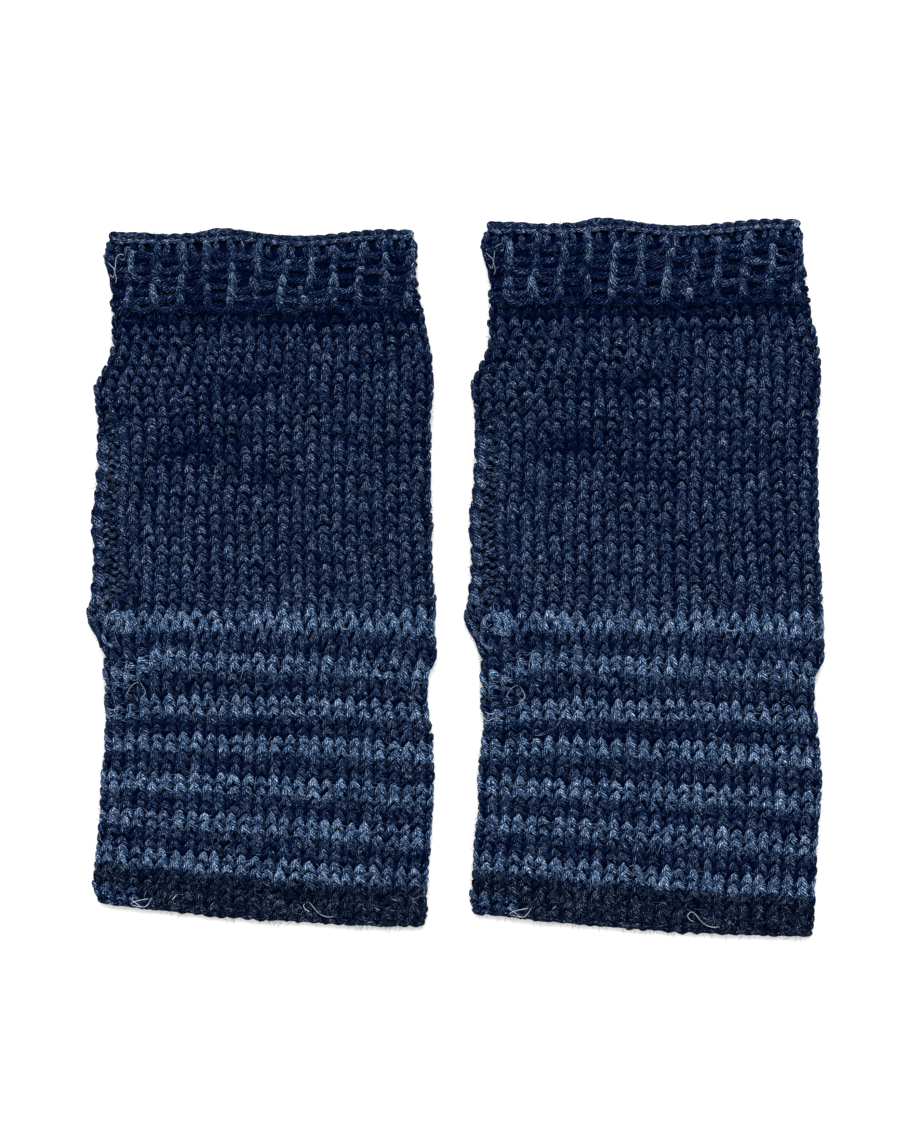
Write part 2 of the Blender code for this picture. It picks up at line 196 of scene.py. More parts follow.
@dataclass(frozen=True)
class FlatTube:
    """The surface that one hand warmer's yarn lies on: a tube pressed flat on the floor."""

    centre: tuple[float, float]
    scale: float
    droop_share: float = 0.16
    droop_power: float = 1.2
    chain_offset: float = 1.45
    chain_front_z: float = 3.75
    chain_back_z: float = 1.2
    fold_plump: float = 0.35
    plump_width: float = 6.0
    edge_dip: float = 0.7
    edge_dip_width: float = 3.0
    cloth_depth: float = 1.0
    hem_roll: float = 1.6
    rib_rise: float = 0.9
    rib_pitch: float = 7.9
    first_rib: float = -40.6

    @property
    def unit(self) -> float:
        """One of this hand warmer's millimetres, in metres."""
        return self.scale * MM

    def world(self, x: Array, y: Array, z: Array) -> Array:
        """Turns places in the hand warmer's own frame into points in the pair's, in metres."""
        x, y, z = self.centre[0] + self.scale * x, self.centre[1] + self.scale * y, self.scale * z
        return np.stack(np.broadcast_arrays(x * MM, y * MM, z * MM), axis=-1)

    def section(self, course: Array) -> dict[str, Array]:
        """Reads each column of the section table at some courses."""
        return {name: smooth_curve(COLUMNS["course"], column, course) for name, column in COLUMNS.items()}

    def straight_y(self, section: dict[str, Array], across: Array) -> Array:
        """Where courses would run if nothing sagged.

        Args:
            section: The courses' section.
            across: Shares of the width, from the left fold.

        Returns:
            Their y in millimetres.
        """
        left = section["y_left"] * (1 - across) * (1 - 2 * across)
        middle = section["y_middle"] * 4 * across * (1 - across)
        return left + middle + section["y_right"] * across * (2 * across - 1)

    def chain_y(self, across: Array, layer: Array) -> Array:
        """Where the bind-off chain runs. Layer is 0 on the back and 1 on the front."""
        front, back = (smooth_curve(*chain.T, across) for chain in (FRONT_CHAIN, BACK_CHAIN))
        return back * (1 - layer) + front * layer

    def course_y(self, course: Array, across: Array, layer: Array) -> Array:
        """Where courses run.

        Args:
            course: The courses.
            across: Shares of the width, from the left fold.
            layer: 0 on the back layer and 1 on the front one.

        Returns:
            Their y in millimetres, in the hand warmer's own frame.
        """
        section = self.section(course)
        hang = section["droop"] * np.clip(1 - across / self.droop_share, 0, 1) ** self.droop_power
        fade = np.clip(1 - course / RIB_END, 0, None)
        first = self.section(np.zeros_like(course))
        rim = self.chain_y(across, layer) - self.chain_offset
        return self.straight_y(section, across) - hang + fade * (rim - self.straight_y(first, across))

    def dent(self, x: Array, y: Array) -> Array:
        """How far the front layer sinks.

        Args:
            x: The points' x in millimetres, in the hand warmer's own frame.
            y: Their y.

        Returns:
            The depths in millimetres.
        """
        total = np.zeros_like(x)
        for trough in TROUGHS:
            turn = math.radians(trough.turn)
            along = (x - trough.x) * math.cos(turn) + (y - trough.y) * math.sin(turn)
            over = (y - trough.y) * math.cos(turn) - (x - trough.x) * math.sin(turn)
            spread = (along / trough.half_length) ** 2 + (over / trough.half_width) ** 2
            total += trough.depth * np.exp(-spread)
        return total

    def plump(self, distance: Array) -> Array:
        """Extra height near a fold, where the cloth doesn't press quite flat."""
        share = np.clip(distance, 0, None) / self.plump_width
        return self.fold_plump * share * np.exp(1 - share)

    def perimeter(self, course: Array) -> Array:
        """Measures courses round the tube, halfway into the cloth.

        Args:
            course: The courses.

        Returns:
            Their lengths in millimetres.
        """
        section = self.section(course)
        flat = section["x_right"] - section["x_left"] - section["height"]
        return 2 * flat + 2 * math.pi * (section["height"] / 2 - self.cloth_depth)

    def front_edge(self, course: Array) -> Array:
        """How far round from the left fold the front layer begins along the slit."""
        radius = self.section(course)["height"] / 2
        return math.pi / 2 * (radius - self.cloth_depth) + smooth_curve(*FRONT_EDGE.T, course) - radius

    def edge_stitch(self, course: float) -> float:
        """The stitch at which the front layer begins along the slit."""
        at = np.array([course])
        return float(self.front_edge(at)[0] / (self.perimeter(at)[0] / STITCHES))

    def place(self, distance: Array, course: Array, depth: Array, ribbed: bool = False) -> Array:
        """Places points on the tube.

        Args:
            distance: Millimetres round the tube, from the middle of the left fold over the front.
            course: Their courses. Past the hem's end they turn under.
            depth: How far below the tube's outer face the points lie, in millimetres.
            ribbed: Whether the front rises along the rib's knit columns.

        Returns:
            The points in metres, in the pair's frame.
        """
        distance, course, depth = np.broadcast_arrays(*np.atleast_1d(distance, course, depth))
        section = self.section(course)
        left, right = section["x_left"], section["x_right"]
        radius = section["height"] / 2
        bend = radius - self.cloth_depth
        quarter = math.pi / 2 * bend
        flat = right - left - 2 * radius
        d = np.mod(distance, self.perimeter(course))
        over = (d >= quarter) & (d < quarter + flat)
        turning = (d >= quarter + flat) & (d < 3 * quarter + flat)
        under = (d >= 3 * quarter + flat) & (d < 3 * quarter + 2 * flat)
        angle = np.where(turning, math.pi / 2 - (d - quarter - flat) / bend, math.pi - d / bend)
        angle = np.where(
            d >= 3 * quarter + 2 * flat, -math.pi / 2 - (d - 3 * quarter - 2 * flat) / bend, angle
        )
        angle = np.where(over, math.pi / 2, np.where(under, -math.pi / 2, angle))
        x = np.where(turning, right - radius, left + radius)
        x = np.where(over, left + radius + d - quarter, x)
        x = np.where(under, right - radius - (d - 3 * quarter - flat), x)
        gap = self.chain_front_z - self.chain_back_z
        layer = np.clip(0.5 + np.sin(angle) * radius / gap, 0, 1)
        x_out = x + (radius - depth) * np.cos(angle)
        across = np.clip((x_out - left) / (right - left), 0, 1)
        y = self.course_y(course, across, layer)
        lift = self.plump(x_out - left - radius) + self.plump(right - radius - x_out)
        lift = lift - self.dent(x_out, y)
        past = x_out - left - smooth_curve(*FRONT_EDGE.T, course)
        open_row = (course > SLIT_START) & (course < SLIT_END)
        lift = lift - open_row * self.edge_dip * np.exp(-np.clip(past, 0, None) / self.edge_dip_width)
        if ribbed:
            wave = np.cos(2 * math.pi * (x_out - self.first_rib) / self.rib_pitch)
            lift = lift + self.rib_rise * (0.5 + 0.5 * wave)
        z = radius + (radius - depth) * np.sin(angle) + np.where(over, lift, 0)
        roll = np.clip(course - HEM_END, 0, 1) * math.pi / 2
        reach = self.hem_roll - depth
        y = y - np.where(roll > 0, reach * np.sin(roll), 0)
        sink = self.hem_roll - depth - reach * np.cos(roll)
        return self.world(x_out, y, z - np.where(roll > 0, np.sign(np.sin(angle)) * sink, 0))


# Node trees

class Graph:
    """A node tree under construction."""

    def __init__(self, tree: NodeTree) -> None:
        """Takes the tree to build in."""
        self.tree = tree

    def feed(self, node: bpy.types.Node, inputs: dict) -> None:
        """Feeds a node's inputs.

        Args:
            node: The node.
            inputs: Plain values or other nodes' outputs, by the input's name or number.
        """
        for key, value in inputs.items():
            if isinstance(value, Value):
                self.tree.links.new(value.socket, node.inputs[key])
            else:
                node.inputs[key].default_value = value

    def node(self, kind: str, inputs: dict | None = None, **settings: object) -> bpy.types.Node:
        """Adds a node.

        Args:
            kind: The node's type.
            inputs: What its inputs are fed with.
            settings: The node's own settings.

        Returns:
            The node.
        """
        node = self.tree.nodes.new(kind)
        for name, setting in settings.items():
            setattr(node, name, setting)
        self.feed(node, inputs or {})
        return node

    def add(
        self, kind: str, inputs: dict | None = None, output: int | str = 0, **settings: object
    ) -> "Value":
        """Adds a node and returns the named one of its outputs."""
        return Value(self, self.node(kind, inputs, **settings).outputs[output])

    def split(self, vector: "Value") -> list["Value"]:
        """Splits a vector into its three parts."""
        return [Value(self, part) for part in self.node("ShaderNodeSeparateXYZ", {0: vector}).outputs]

    def join(self, x: object, y: object, z: object = 0.0) -> "Value":
        """Joins three numbers into a vector."""
        return self.add("ShaderNodeCombineXYZ", {0: x, 1: y, 2: z})

    def noise(
        self, place: "Value", scale: float, detail: float, rough: float = 0.5, output: str = "Fac"
    ) -> "Value":
        """Adds a noise and returns its value, or its colour as a vector."""
        inputs = {"Vector": place, "Scale": scale, "Detail": detail, "Roughness": rough}
        return self.add("ShaderNodeTexNoise", inputs, output)


@dataclass(frozen=True)
class Value:
    """One output in a graph. Arithmetic on it adds the nodes that work the result out."""

    graph: Graph
    socket: Socket

    @property
    def is_vector(self) -> bool:
        """Whether this is a vector or a colour, and not a number."""
        return self.socket.type in ("VECTOR", "RGBA")

    def maths(self, operation: str, *others: object) -> "Value":
        """Adds one step of arithmetic."""
        kind = "ShaderNodeVectorMath" if self.is_vector else "ShaderNodeMath"
        return self.graph.add(kind, dict(enumerate((self, *others))), operation=operation)

    def __add__(self, other: object) -> "Value":
        """Adds a value."""
        return self.maths("ADD", other)

    def __sub__(self, other: object) -> "Value":
        """Takes a value away."""
        return self.maths("SUBTRACT", other)

    def __rsub__(self, other: float) -> "Value":
        """Takes this away from a plain number."""
        return self.graph.add("ShaderNodeMath", {0: other, 1: self}, operation="SUBTRACT")

    def __mul__(self, other: object) -> "Value":
        """Multiplies by a number.

        Args:
            other: The number, plain or another node's.

        Returns:
            The product.
        """
        if self.is_vector:
            return self.graph.add("ShaderNodeVectorMath", {0: self, "Scale": other}, operation="SCALE")
        return self.maths("MULTIPLY", other)

    def __truediv__(self, other: object) -> "Value":
        """Divides by a number."""
        return self.maths("DIVIDE", other)


# Finishes

class Surface(Graph):
    """A material under construction."""

    def __init__(self, name: str) -> None:
        """Starts a plain material.

        Args:
            name: The material's name.
        """
        self.material = bpy.data.materials.new(name)
        self.material.use_nodes = True
        super().__init__(self.material.node_tree)

    def place(self) -> Value:
        """The place on the object."""
        return self.add("ShaderNodeTexCoord", None, "Object")

    def ramp(self, value: Value, *stops: tuple[float, Colour]) -> Value:
        """Turns a value into a colour.

        Args:
            value: The value.
            stops: Two or more stops, as (position, colour).

        Returns:
            The colour.
        """
        node = self.node("ShaderNodeValToRGB", {0: value})
        elements = node.color_ramp.elements
        for element, (position, colour) in zip(elements, (stops[0], stops[-1])):
            element.position = position
            element.color = (*colour, 1)
        for position, colour in stops[1:-1]:
            elements.new(position).color = (*colour, 1)
        return Value(self, node.outputs[0])

    def bump(self, height: Value, strength: float, distance: float, **under: Value) -> Value:
        """Adds relief, over another relief where "Normal" names one."""
        inputs = {"Height": height, "Strength": strength, "Distance": distance, **under}
        return self.add("ShaderNodeBump", inputs)

    def finish(self, colour: Value, roughness: float, specular: float, **relief: Value) -> Material:
        """Feeds the shader.

        Args:
            colour: The base colour.
            roughness: How rough the surface is.
            specular: How much light it mirrors.
            relief: Its "Normal", where it has relief.

        Returns:
            The material.
        """
        inputs = {"Base Color": colour, "Roughness": roughness, "Specular IOR Level": specular, **relief}
        self.feed(self.tree.nodes["Principled BSDF"], inputs)
        return self.material


@dataclass(frozen=True)
class WoolFinish:
    """Spun wool: plies that turn round the yarn, fibres that streak along them, heathering, and painted light
    and shade.
    """

    name: str
    groove: Colour
    base: Colour
    light: Colour
    bright: Colour
    plies: int = 6
    turns_per_metre: float = 120.0
    stops: tuple[float, float, float, float] = (0.3, 0.6, 0.82, 1.0)
    ply_share: float = 0.45
    streak_share: float = 2.8
    heather_share: float = 0.48
    proud_share: float = 0.2
    ply_bump: float = 0.5
    fibre_bump: float = 0.5

    def material(self) -> Material:
        """Builds the finish.

        Returns:
            A material that reads the yarn's own "ring", "along" and "proud" attributes.
        """
        made = Surface(self.name)
        ring, along, proud = (
            made.add("ShaderNodeAttribute", None, output, attribute_name=name)
            for name, output in (("ring", "Vector"), ("along", "Fac"), ("proud", "Fac"))
        )
        place = made.place()
        x, y, _ = made.split(ring)
        angle = y.maths("ARCTAN2", x)
        turned = angle + along * (self.turns_per_metre * 2 * math.pi)
        ply = (turned * (self.plies / 2)).maths("COSINE").maths("ABSOLUTE")
        wound = self.streaks(turned, along, place, 1.1, 160.0)
        streaks = wound.maths("MAXIMUM", self.streaks(angle, along, place, 0.7, 420.0))
        heather = made.noise(place, 330.0, 4.0, 0.7)
        # Painted shade: the colour darkens in the grooves between the plies.
        mixed = (ply - 0.64) * self.ply_share + 0.5
        mixed = mixed + (streaks - 0.56) * self.streak_share
        mixed = mixed + (heather - 0.5) * self.heather_share
        # Painted light and shade: the yarn shows lighter where it stands out and at its loops' heads, and
        # darker where it lies deep, besides its own tone.
        mixed = mixed + (proud - 0.35) * self.proud_share
        # The groove stop is painted shade, and the bright stop is partly paler fibres and partly painted
        # glints on them.
        colour = made.ramp(mixed, *zip(self.stops, (self.groove, self.base, self.light, self.bright)))
        fibres = made.bump(streaks, self.fibre_bump, 0.0004)
        return made.finish(colour, 0.9, 0.01, Normal=made.bump(ply, self.ply_bump, 0.00035, Normal=fibres))

    def streaks(self, angle: Value, along: Value, place: Value, fine: float, rate: float) -> Value:
        """Adds fine streaks that follow a direction round the yarn.

        Args:
            angle: The direction's angle round the yarn.
            along: The length along the yarn.
            place: The place itself, which keeps rows of one length from showing one pattern.
            fine: How fine the streaks are round the yarn.
            rate: How short they are along it.

        Returns:
            The streaks' value.
        """
        at = angle.graph.join(angle.maths("COSINE") * fine, angle.maths("SINE") * fine, along * rate)
        return angle.graph.noise(at + place * 140.0, 4.5, 2.0, 0.6)


@dataclass(frozen=True)
class SpeckledFinish:
    """A finish of two colours in a noise: single fibres, the painted shade of the knitting's ground, the
    floor.
    """

    name: str
    dark: Colour
    light: Colour
    scale: float = 300.0
    detail: float = 2.0
    rough: float = 0.5
    stops: tuple[float, float] = (0.4, 0.62)
    roughness: float = 0.5
    specular: float = 0.4
    bump: float = 0.0

    def material(self) -> Material:
        """Builds the finish.

        Returns:
            The material.
        """
        made = Surface(self.name)
        noise = made.noise(made.place(), self.scale, self.detail, self.rough)
        relief = {"Normal": made.bump(noise, self.bump, 0.0004)} if self.bump else {}
        colour = made.ramp(noise, *zip(self.stops, (self.dark, self.light)))
        return made.finish(colour, self.roughness, self.specular, **relief)


NAVY = WoolFinish(
    "navy_wool_yarn",
    groove=(0.0, 0.001, 0.013),
    base=(0.004, 0.015, 0.05),
    light=(0.051, 0.09, 0.177),
    bright=(0.31, 0.42, 0.60),
)
DENIM = WoolFinish(
    "denim_wool_yarn",
    groove=(0.0, 0.0015, 0.013),
    base=(0.016, 0.042, 0.118),
    light=(0.18, 0.305, 0.515),
    bright=(0.60, 0.78, 0.98),
)
# The hem's navy yarn, painted darker as the shade where the hem rolls under, with paler flecks.
HEM = WoolFinish(
    "felted_hem_yarn",
    groove=(0.0, 0.0006, 0.0065),
    base=(0.0028, 0.0085, 0.028),
    light=(0.020, 0.035, 0.072),
    bright=(0.2, 0.26, 0.36),
    heather_share=0.9,
    proud_share=0.1,
)
# Nearly black: the cloth under the loops stands in for the shade between them.
SHADE_GROUND = SpeckledFinish(
    "navy_ground",
    dark=(0.0, 0.0012, 0.007),
    light=(0.0006, 0.0035, 0.014),
    scale=700.0,
    detail=4.0,
    rough=0.7,
    stops=(0.35, 0.68),
    roughness=0.95,
    specular=0.01,
    bump=0.8,
)
NAVY_FIBRE = SpeckledFinish("navy_fibre", (0.01, 0.022, 0.06), (0.10, 0.15, 0.26))
DENIM_FIBRE = SpeckledFinish("denim_fibre", (0.045, 0.085, 0.18), (0.32, 0.48, 0.74))
STRAY_FIBRE = SpeckledFinish("stray_fibre", (0.18, 0.22, 0.3), (0.45, 0.5, 0.58))
FLOOR = SpeckledFinish(
    "pale_floor",
    dark=(0.92, 0.92, 0.92),
    light=(0.96, 0.96, 0.96),
    scale=9.0,
    detail=3.0,
    stops=(0.0, 1.0),
    roughness=0.9,
    specular=0.1,
)


# Geometry

class Geometry(Graph):
    """A geometry tree under construction, with one geometry in and out."""

    def __init__(self, name: str) -> None:
        """Starts an empty tree.

        Args:
            name: The tree's name.
        """
        super().__init__(bpy.data.node_groups.new(name, "GeometryNodeTree"))
        for side in ("INPUT", "OUTPUT"):
            self.tree.interface.new_socket("Geometry", in_out=side, socket_type="NodeSocketGeometry")
        self.given = self.tree.nodes.new("NodeGroupInput")
        self.start = Value(self, self.given.outputs[0])

    def inputs(self, kind: str, *names: str) -> list[Value]:
        """Adds inputs of one kind.

        Args:
            kind: Float, Int or Material.
            names: The inputs' names.

        Returns:
            Their values.
        """
        for name in names:
            self.tree.interface.new_socket(name, in_out="INPUT", socket_type=f"NodeSocket{kind}")
        return [Value(self, self.given.outputs[name]) for name in names]

    def number(self, name: str) -> Value:
        """Reads a number that the points carry."""
        return self.add("GeometryNodeInputNamedAttribute", {"Name": name}, "Attribute", data_type="FLOAT")

    def vector(self, name: str) -> Value:
        """Reads a vector that the points carry."""
        kind = "FLOAT_VECTOR"
        return self.add("GeometryNodeInputNamedAttribute", {"Name": name}, "Attribute", data_type=kind)

    def store(self, geometry: Value, name: str, value: Value) -> Value:
        """Has the points carry a value.

        Args:
            geometry: The geometry.
            name: The value's name.
            value: The value.

        Returns:
            The geometry.
        """
        kind = "FLOAT_VECTOR" if value.is_vector else "FLOAT"
        inputs = {"Geometry": geometry, "Name": name, "Value": value}
        return self.add("GeometryNodeStoreNamedAttribute", inputs, data_type=kind, domain="POINT")

    def move(self, geometry: Value, place: Value) -> Value:
        """Moves the points to a place, and returns the geometry."""
        return self.add("GeometryNodeSetPosition", {"Geometry": geometry, "Position": place})

    def rest(self, geometry: Value, place: Value, height: Value) -> Value:
        """Moves the points to a place, but no lower than a height above the floor."""
        x, y, z = self.split(place)
        return self.move(geometry, self.join(x, y, z.maths("MAXIMUM", height)))

    def turn(self, rotation: Value, angles: Value) -> Value:
        """Turns a rotation by angles about its own axes."""
        angles = self.add("FunctionNodeEulerToRotation", {0: angles})
        return self.add("FunctionNodeRotateRotation", {0: rotation, 1: angles}, rotation_space="LOCAL")

    def scatter(self, points: Value, instance: Value, rotation: Value, scale: Value) -> Value:
        """Puts a real copy of a curve at each point.

        Args:
            points: The points.
            instance: The curve.
            rotation: How each copy is turned.
            scale: How large it is.

        Returns:
            The copies.
        """
        inputs = {"Points": points, "Instance": instance, "Rotation": rotation, "Scale": scale}
        placed = self.add("GeometryNodeInstanceOnPoints", inputs)
        return self.add("GeometryNodeRealizeInstances", {"Geometry": placed})

    def sweep(self, curves: Value, radius: Value, sides: Value | int, thin: Value | float = 1.0) -> Value:
        """Sweeps a round yarn along curves.

        Args:
            curves: The curves.
            radius: The yarn's radius.
            sides: How many sides it has.
            thin: A factor on the radius at each point.

        Returns:
            The yarn's mesh, which carries "ring" (the angle round it) and "along" (its length).
        """
        curves = self.store(curves, "along", self.add("GeometryNodeSplineParameter", None, "Length"))
        circle = self.add("GeometryNodeCurvePrimitiveCircle", {"Resolution": sides, "Radius": radius})
        turn = self.add("GeometryNodeInputIndex") * (2 * math.pi) / sides
        circle = self.store(circle, "ring", self.join(turn.maths("COSINE"), turn.maths("SINE")))
        inputs = {"Curve": curves, "Profile Curve": circle, "Scale": thin, "Fill Caps": True}
        mesh = self.add("GeometryNodeCurveToMesh", inputs)
        return self.add("GeometryNodeSetShadeSmooth", {"Geometry": mesh})

    def finish(self, geometry: Value) -> NodeTree:
        """Realises instances, sets the "wool" as the material and closes the tree.

        Args:
            geometry: What the tree makes.

        Returns:
            The tree.
        """
        (wool,) = self.inputs("Material", "wool")
        real = self.add("GeometryNodeRealizeInstances", {"Geometry": geometry})
        dyed = self.add("GeometryNodeSetMaterial", {"Geometry": real, "Material": wool})
        self.node("NodeGroupOutput", {0: dyed})
        return self.tree


def knit_tree() -> NodeTree:
    """Makes the tree that turns plain lines along the rows into interlocking loops of yarn.

    Returns:
        The tree. At each point the lines carry the directions "across", "down" and "out", the
        waves "pull", "rise" and "lift" of a loop, and the yarn's "girth".
    """
    made = Geometry("knit_loops")
    radius, pull, reach, depth, uneven, waver = made.inputs(
        "Float", "radius", "pull", "reach", "depth", "unevenness", "waver"
    )
    sides, seed = made.inputs("Int", "sides", "seed")
    girth = made.number("girth")
    move = made.vector("across") * (made.number("pull") * pull)
    move = move + made.vector("down") * (made.number("rise") * reach)
    move = move + made.vector("out") * (made.number("lift") * depth)
    spot = made.add("GeometryNodeInputPosition")
    for scale, amount in ((330.0, uneven), (75.0, waver)):
        inputs = {"Vector": spot, "W": seed, "Scale": scale, "Detail": 1.0}
        noise = made.add("ShaderNodeTexNoise", inputs, "Color", noise_dimensions="4D")
        move = move + (noise - (0.5, 0.5, 0.5)) * (amount * 4.0)
    moved = made.rest(made.start, spot + move, radius * girth * 1.25)
    curves = made.add("GeometryNodeMeshToCurve", {"Mesh": moved})
    thin = (made.noise(spot, 420.0, 1.0) * 0.7 + 0.65) * girth
    return made.finish(made.sweep(curves, radius, sides, thin))


def chain_tree() -> NodeTree:
    """Makes the tree that lays one elongated loop of yarn at each point.

    Returns:
        The tree. The points carry "heading", "out" and "size".
    """
    made = Geometry("chain_links")
    length, width, radius, turn, lean, lightness, side_light = made.inputs(
        "Float", "length", "width", "radius", "turn", "lean", "lightness", "side_light"
    )
    sides, steps = made.inputs("Int", "sides", "steps")
    here = made.add("GeometryNodeInputPosition")
    x, y, _ = made.split(here)
    loop = made.add("GeometryNodeCurvePrimitiveCircle", {"Resolution": steps, "Radius": 1.0})
    # Painted light and shade: a link shows lighter at its head, darker at its tail under the next link and
    # darker on one side by side_light, on top of its tone.
    loop = made.store(loop, "proud", x * 0.8 + lightness - y * side_light)
    # The link is narrower at the end that it points to.
    loop = made.move(loop, made.join(x * length * 0.5, y * (1.0 - x * 0.3) * width * 0.5))
    inputs = {0: made.vector("out"), 1: made.vector("heading")}
    facing = made.add("FunctionNodeAxesToRotation", inputs, primary_axis="Z", secondary_axis="X")
    facing = made.turn(facing, made.join(0.0, lean, turn))
    points = made.add("GeometryNodeMeshToPoints", {"Mesh": made.start})
    real = made.scatter(points, loop, facing, made.vector("size"))
    return made.finish(made.sweep(made.rest(real, here, radius * 1.15), radius, sides))


def strand_tree() -> NodeTree:
    """Makes the tree that sweeps a strand along each line.

    Returns:
        The tree. The points carry "girth".
    """
    made = Geometry("loose_strands")
    (sides,) = made.inputs("Int", "sides")
    (unit,) = made.inputs("Float", "unit")
    curves = made.add("GeometryNodeMeshToCurve", {"Mesh": made.start})
    return made.finish(made.sweep(curves, unit, sides, made.number("girth")))


def halo_tree() -> NodeTree:
    """Makes the tree that scatters fine curled fibres over a surface.

    Returns:
        The tree. The surface carries "woolly", which thins the fibres out, and "stand", which is 1
        where they stand off it.
    """
    made = Geometry("wool_halo")
    density, length, radius, curl = made.inputs("Float", "density", "length", "radius", "curl")
    (seed,) = made.inputs("Int", "seed")
    inputs = {"Mesh": made.start, "Density": density * made.number("woolly"), "Seed": seed}
    grown = made.node("GeometryNodeDistributePointsOnFaces", inputs)
    points, facing = (Value(made, grown.outputs[name]) for name in ("Points", "Rotation"))
    line = made.add("GeometryNodeCurvePrimitiveLine", {"Start": (0, 0, 0), "End": (0, 0, 1)})
    line = made.add("GeometryNodeResampleCurve", {"Curve": line, "Count": 4})
    inputs = {0: (1.3, 0.0, 0.0), 1: (1.58, 0.0, 2 * math.pi), "Seed": seed}
    lean = made.add("FunctionNodeRandomValue", inputs, data_type="FLOAT_VECTOR")
    tilt, _, turn = made.split(lean)
    upright = made.add("FunctionNodeRandomValue", {2: 0.3, 3: 0.9, "Seed": seed}, 1) * made.number("stand")
    facing = made.turn(facing, made.join(tilt * (1.0 - upright), 0.0, turn))
    size = made.add("FunctionNodeRandomValue", {2: 0.35, 3: 1.5, "Seed": seed + 5.0}, 1)
    real = made.scatter(points, line, facing, size * length)
    spot = made.add("GeometryNodeInputPosition")
    share = made.add("GeometryNodeSplineParameter", None, "Factor")
    bend = made.noise(spot, 260.0, 1.0, output="Color") - (0.5, 0.5, 0.5)
    bent = made.rest(real, spot + bend * (share * (curl * 3.0)), radius * 1.3)
    return made.finish(made.sweep(bent, radius, 3, 1.0 - share * 0.6))


def inputs_of(form: object, unit: float = 1.0, lengths: Sequence[str] = ()) -> dict[str, object]:
    """Gives a form's fields as a tree's inputs, with the named lengths times their unit in metres."""
    values = {item.name: getattr(form, item.name) for item in fields(form)}
    return {name: value * unit if name in lengths else value for name, value in values.items()}


@dataclass
class Shape:
    """What a geometry tree starts from: points in metres with what they carry, and its inputs."""

    points: Array
    carried: dict[str, Array]
    inputs: dict[str, object]
    edges: Sequence[tuple[int, int]] = ()
    faces: Sequence[tuple[int, ...]] = ()

    def grow(self, name: str, tree: NodeTree, wool: Material) -> Object:
        """Runs a geometry tree on the shape and keeps the result as a plain mesh.

        Args:
            name: The piece's name.
            tree: The tree.
            wool: The piece's finish.

        Returns:
            The piece.
        """
        obj = new_object(name, self.points, self.edges, self.faces)
        for key, array in self.carried.items():
            kind, part = ("FLOAT_VECTOR", "vector") if array.ndim == 2 else ("FLOAT", "value")
            layer = obj.data.attributes.new(key, kind, "POINT")
            layer.data.foreach_set(part, array.astype(np.float32).ravel())
        modifier = obj.modifiers.new(tree.name, "NODES")
        modifier.node_group = tree
        values = {**self.inputs, "wool": wool}
        for item in tree.interface.items_tree:
            if item.item_type == "SOCKET" and item.in_out == "INPUT" and item.name in values:
                modifier[item.identifier] = values[item.name]
        graph = bpy.context.evaluated_depsgraph_get()
        mesh = bpy.data.meshes.new_from_object(
            obj.evaluated_get(graph), preserve_all_data_layers=True, depsgraph=graph
        )
        mesh.name = name
        obj.modifiers.clear()
        obj.data = mesh
        return obj


def new_object(name: str, points: Array, edges: Sequence = (), faces: Sequence = ()) -> Object:
    """Makes a mesh object at the origin and links it to the scene.

    Args:
        name: The object's name.
        points: Its points in metres.
        edges: Its loose edges, if it is made of lines.
        faces: Its faces, if it has any.

    Returns:
        The object.
    """
    mesh = bpy.data.meshes.new(name)
    mesh.from_pydata(points.tolist(), edges, faces)
    obj = bpy.data.objects.new(name, mesh)
    bpy.context.scene.collection.objects.link(obj)
    return obj


# Rows of knitting

class Knit(Enum):
    """How a row is knitted."""

    PLAIN = "plain"
    RIB = "rib"
    PURL = "purl"


@dataclass(frozen=True)
class Row:
    """One row of knitting.

    Where it lies and how tall it is are in courses. The span is its first and last stitch, if it
    isn't whole. It can lie sunk by some millimetres, and its yarn can show lighter or darker, for its
    own tone or as painted shade.
    """

    course: float
    tall: float
    knit: Knit = Knit.PLAIN
    span: tuple[float, float] | None = None
    sunk: float = 0.0
    lightness: float = 0.0


def rows_between(start: float, end: float, count: int, knit: Knit = Knit.PLAIN) -> list[Row]:
    """Divides a stretch of the tube into rows of one height, from the finger end down."""
    tall = (end - start) / count
    return [Row(start + (k + 0.5) * tall, tall, knit) for k in range(count)]


@dataclass(frozen=True)
class Loops:
    """The form of a row's loops.

    The yarn's radius, the depth and the small noises are in millimetres, the rest in stitches and
    courses. The last ones say how much chance alters a stitch's height, side, shade and course, and
    how many sides the yarn has.
    """

    radius: float = 0.86
    pull: float = -0.01
    reach: float = 0.6
    depth: float = 0.6
    unevenness: float = 0.36
    waver: float = 0.4
    by_height: float = 0.17
    by_side: float = 0.07
    by_shade: float = 0.11
    by_course: float = 0.035
    sides: int = 6


PLAIN_LOOPS = Loops()
RIB_LOOPS = Loops(1.0, -0.2, 0.52, 0.7, by_height=0.3, by_side=0.16, by_shade=0.3, by_course=0.08)
# The course of the groove at the rib's end
RIB_VALLEY = 6.9
# Painted shade and light on the rows: how much darker they show below the rib and in its groove,
# where shade falls, and lighter above the first stripe, as (amount, middle course, width)
SHADES = ((0.12, 9.0, 4.5), (0.6, RIB_VALLEY, 1.0), (-0.12, 33.5, 2.5))


def bell(at: Array | float, middle: float, width: float) -> Array | float:
    """A smooth bell of height 1."""
    return np.exp(-(((at - middle) / width) ** 2))


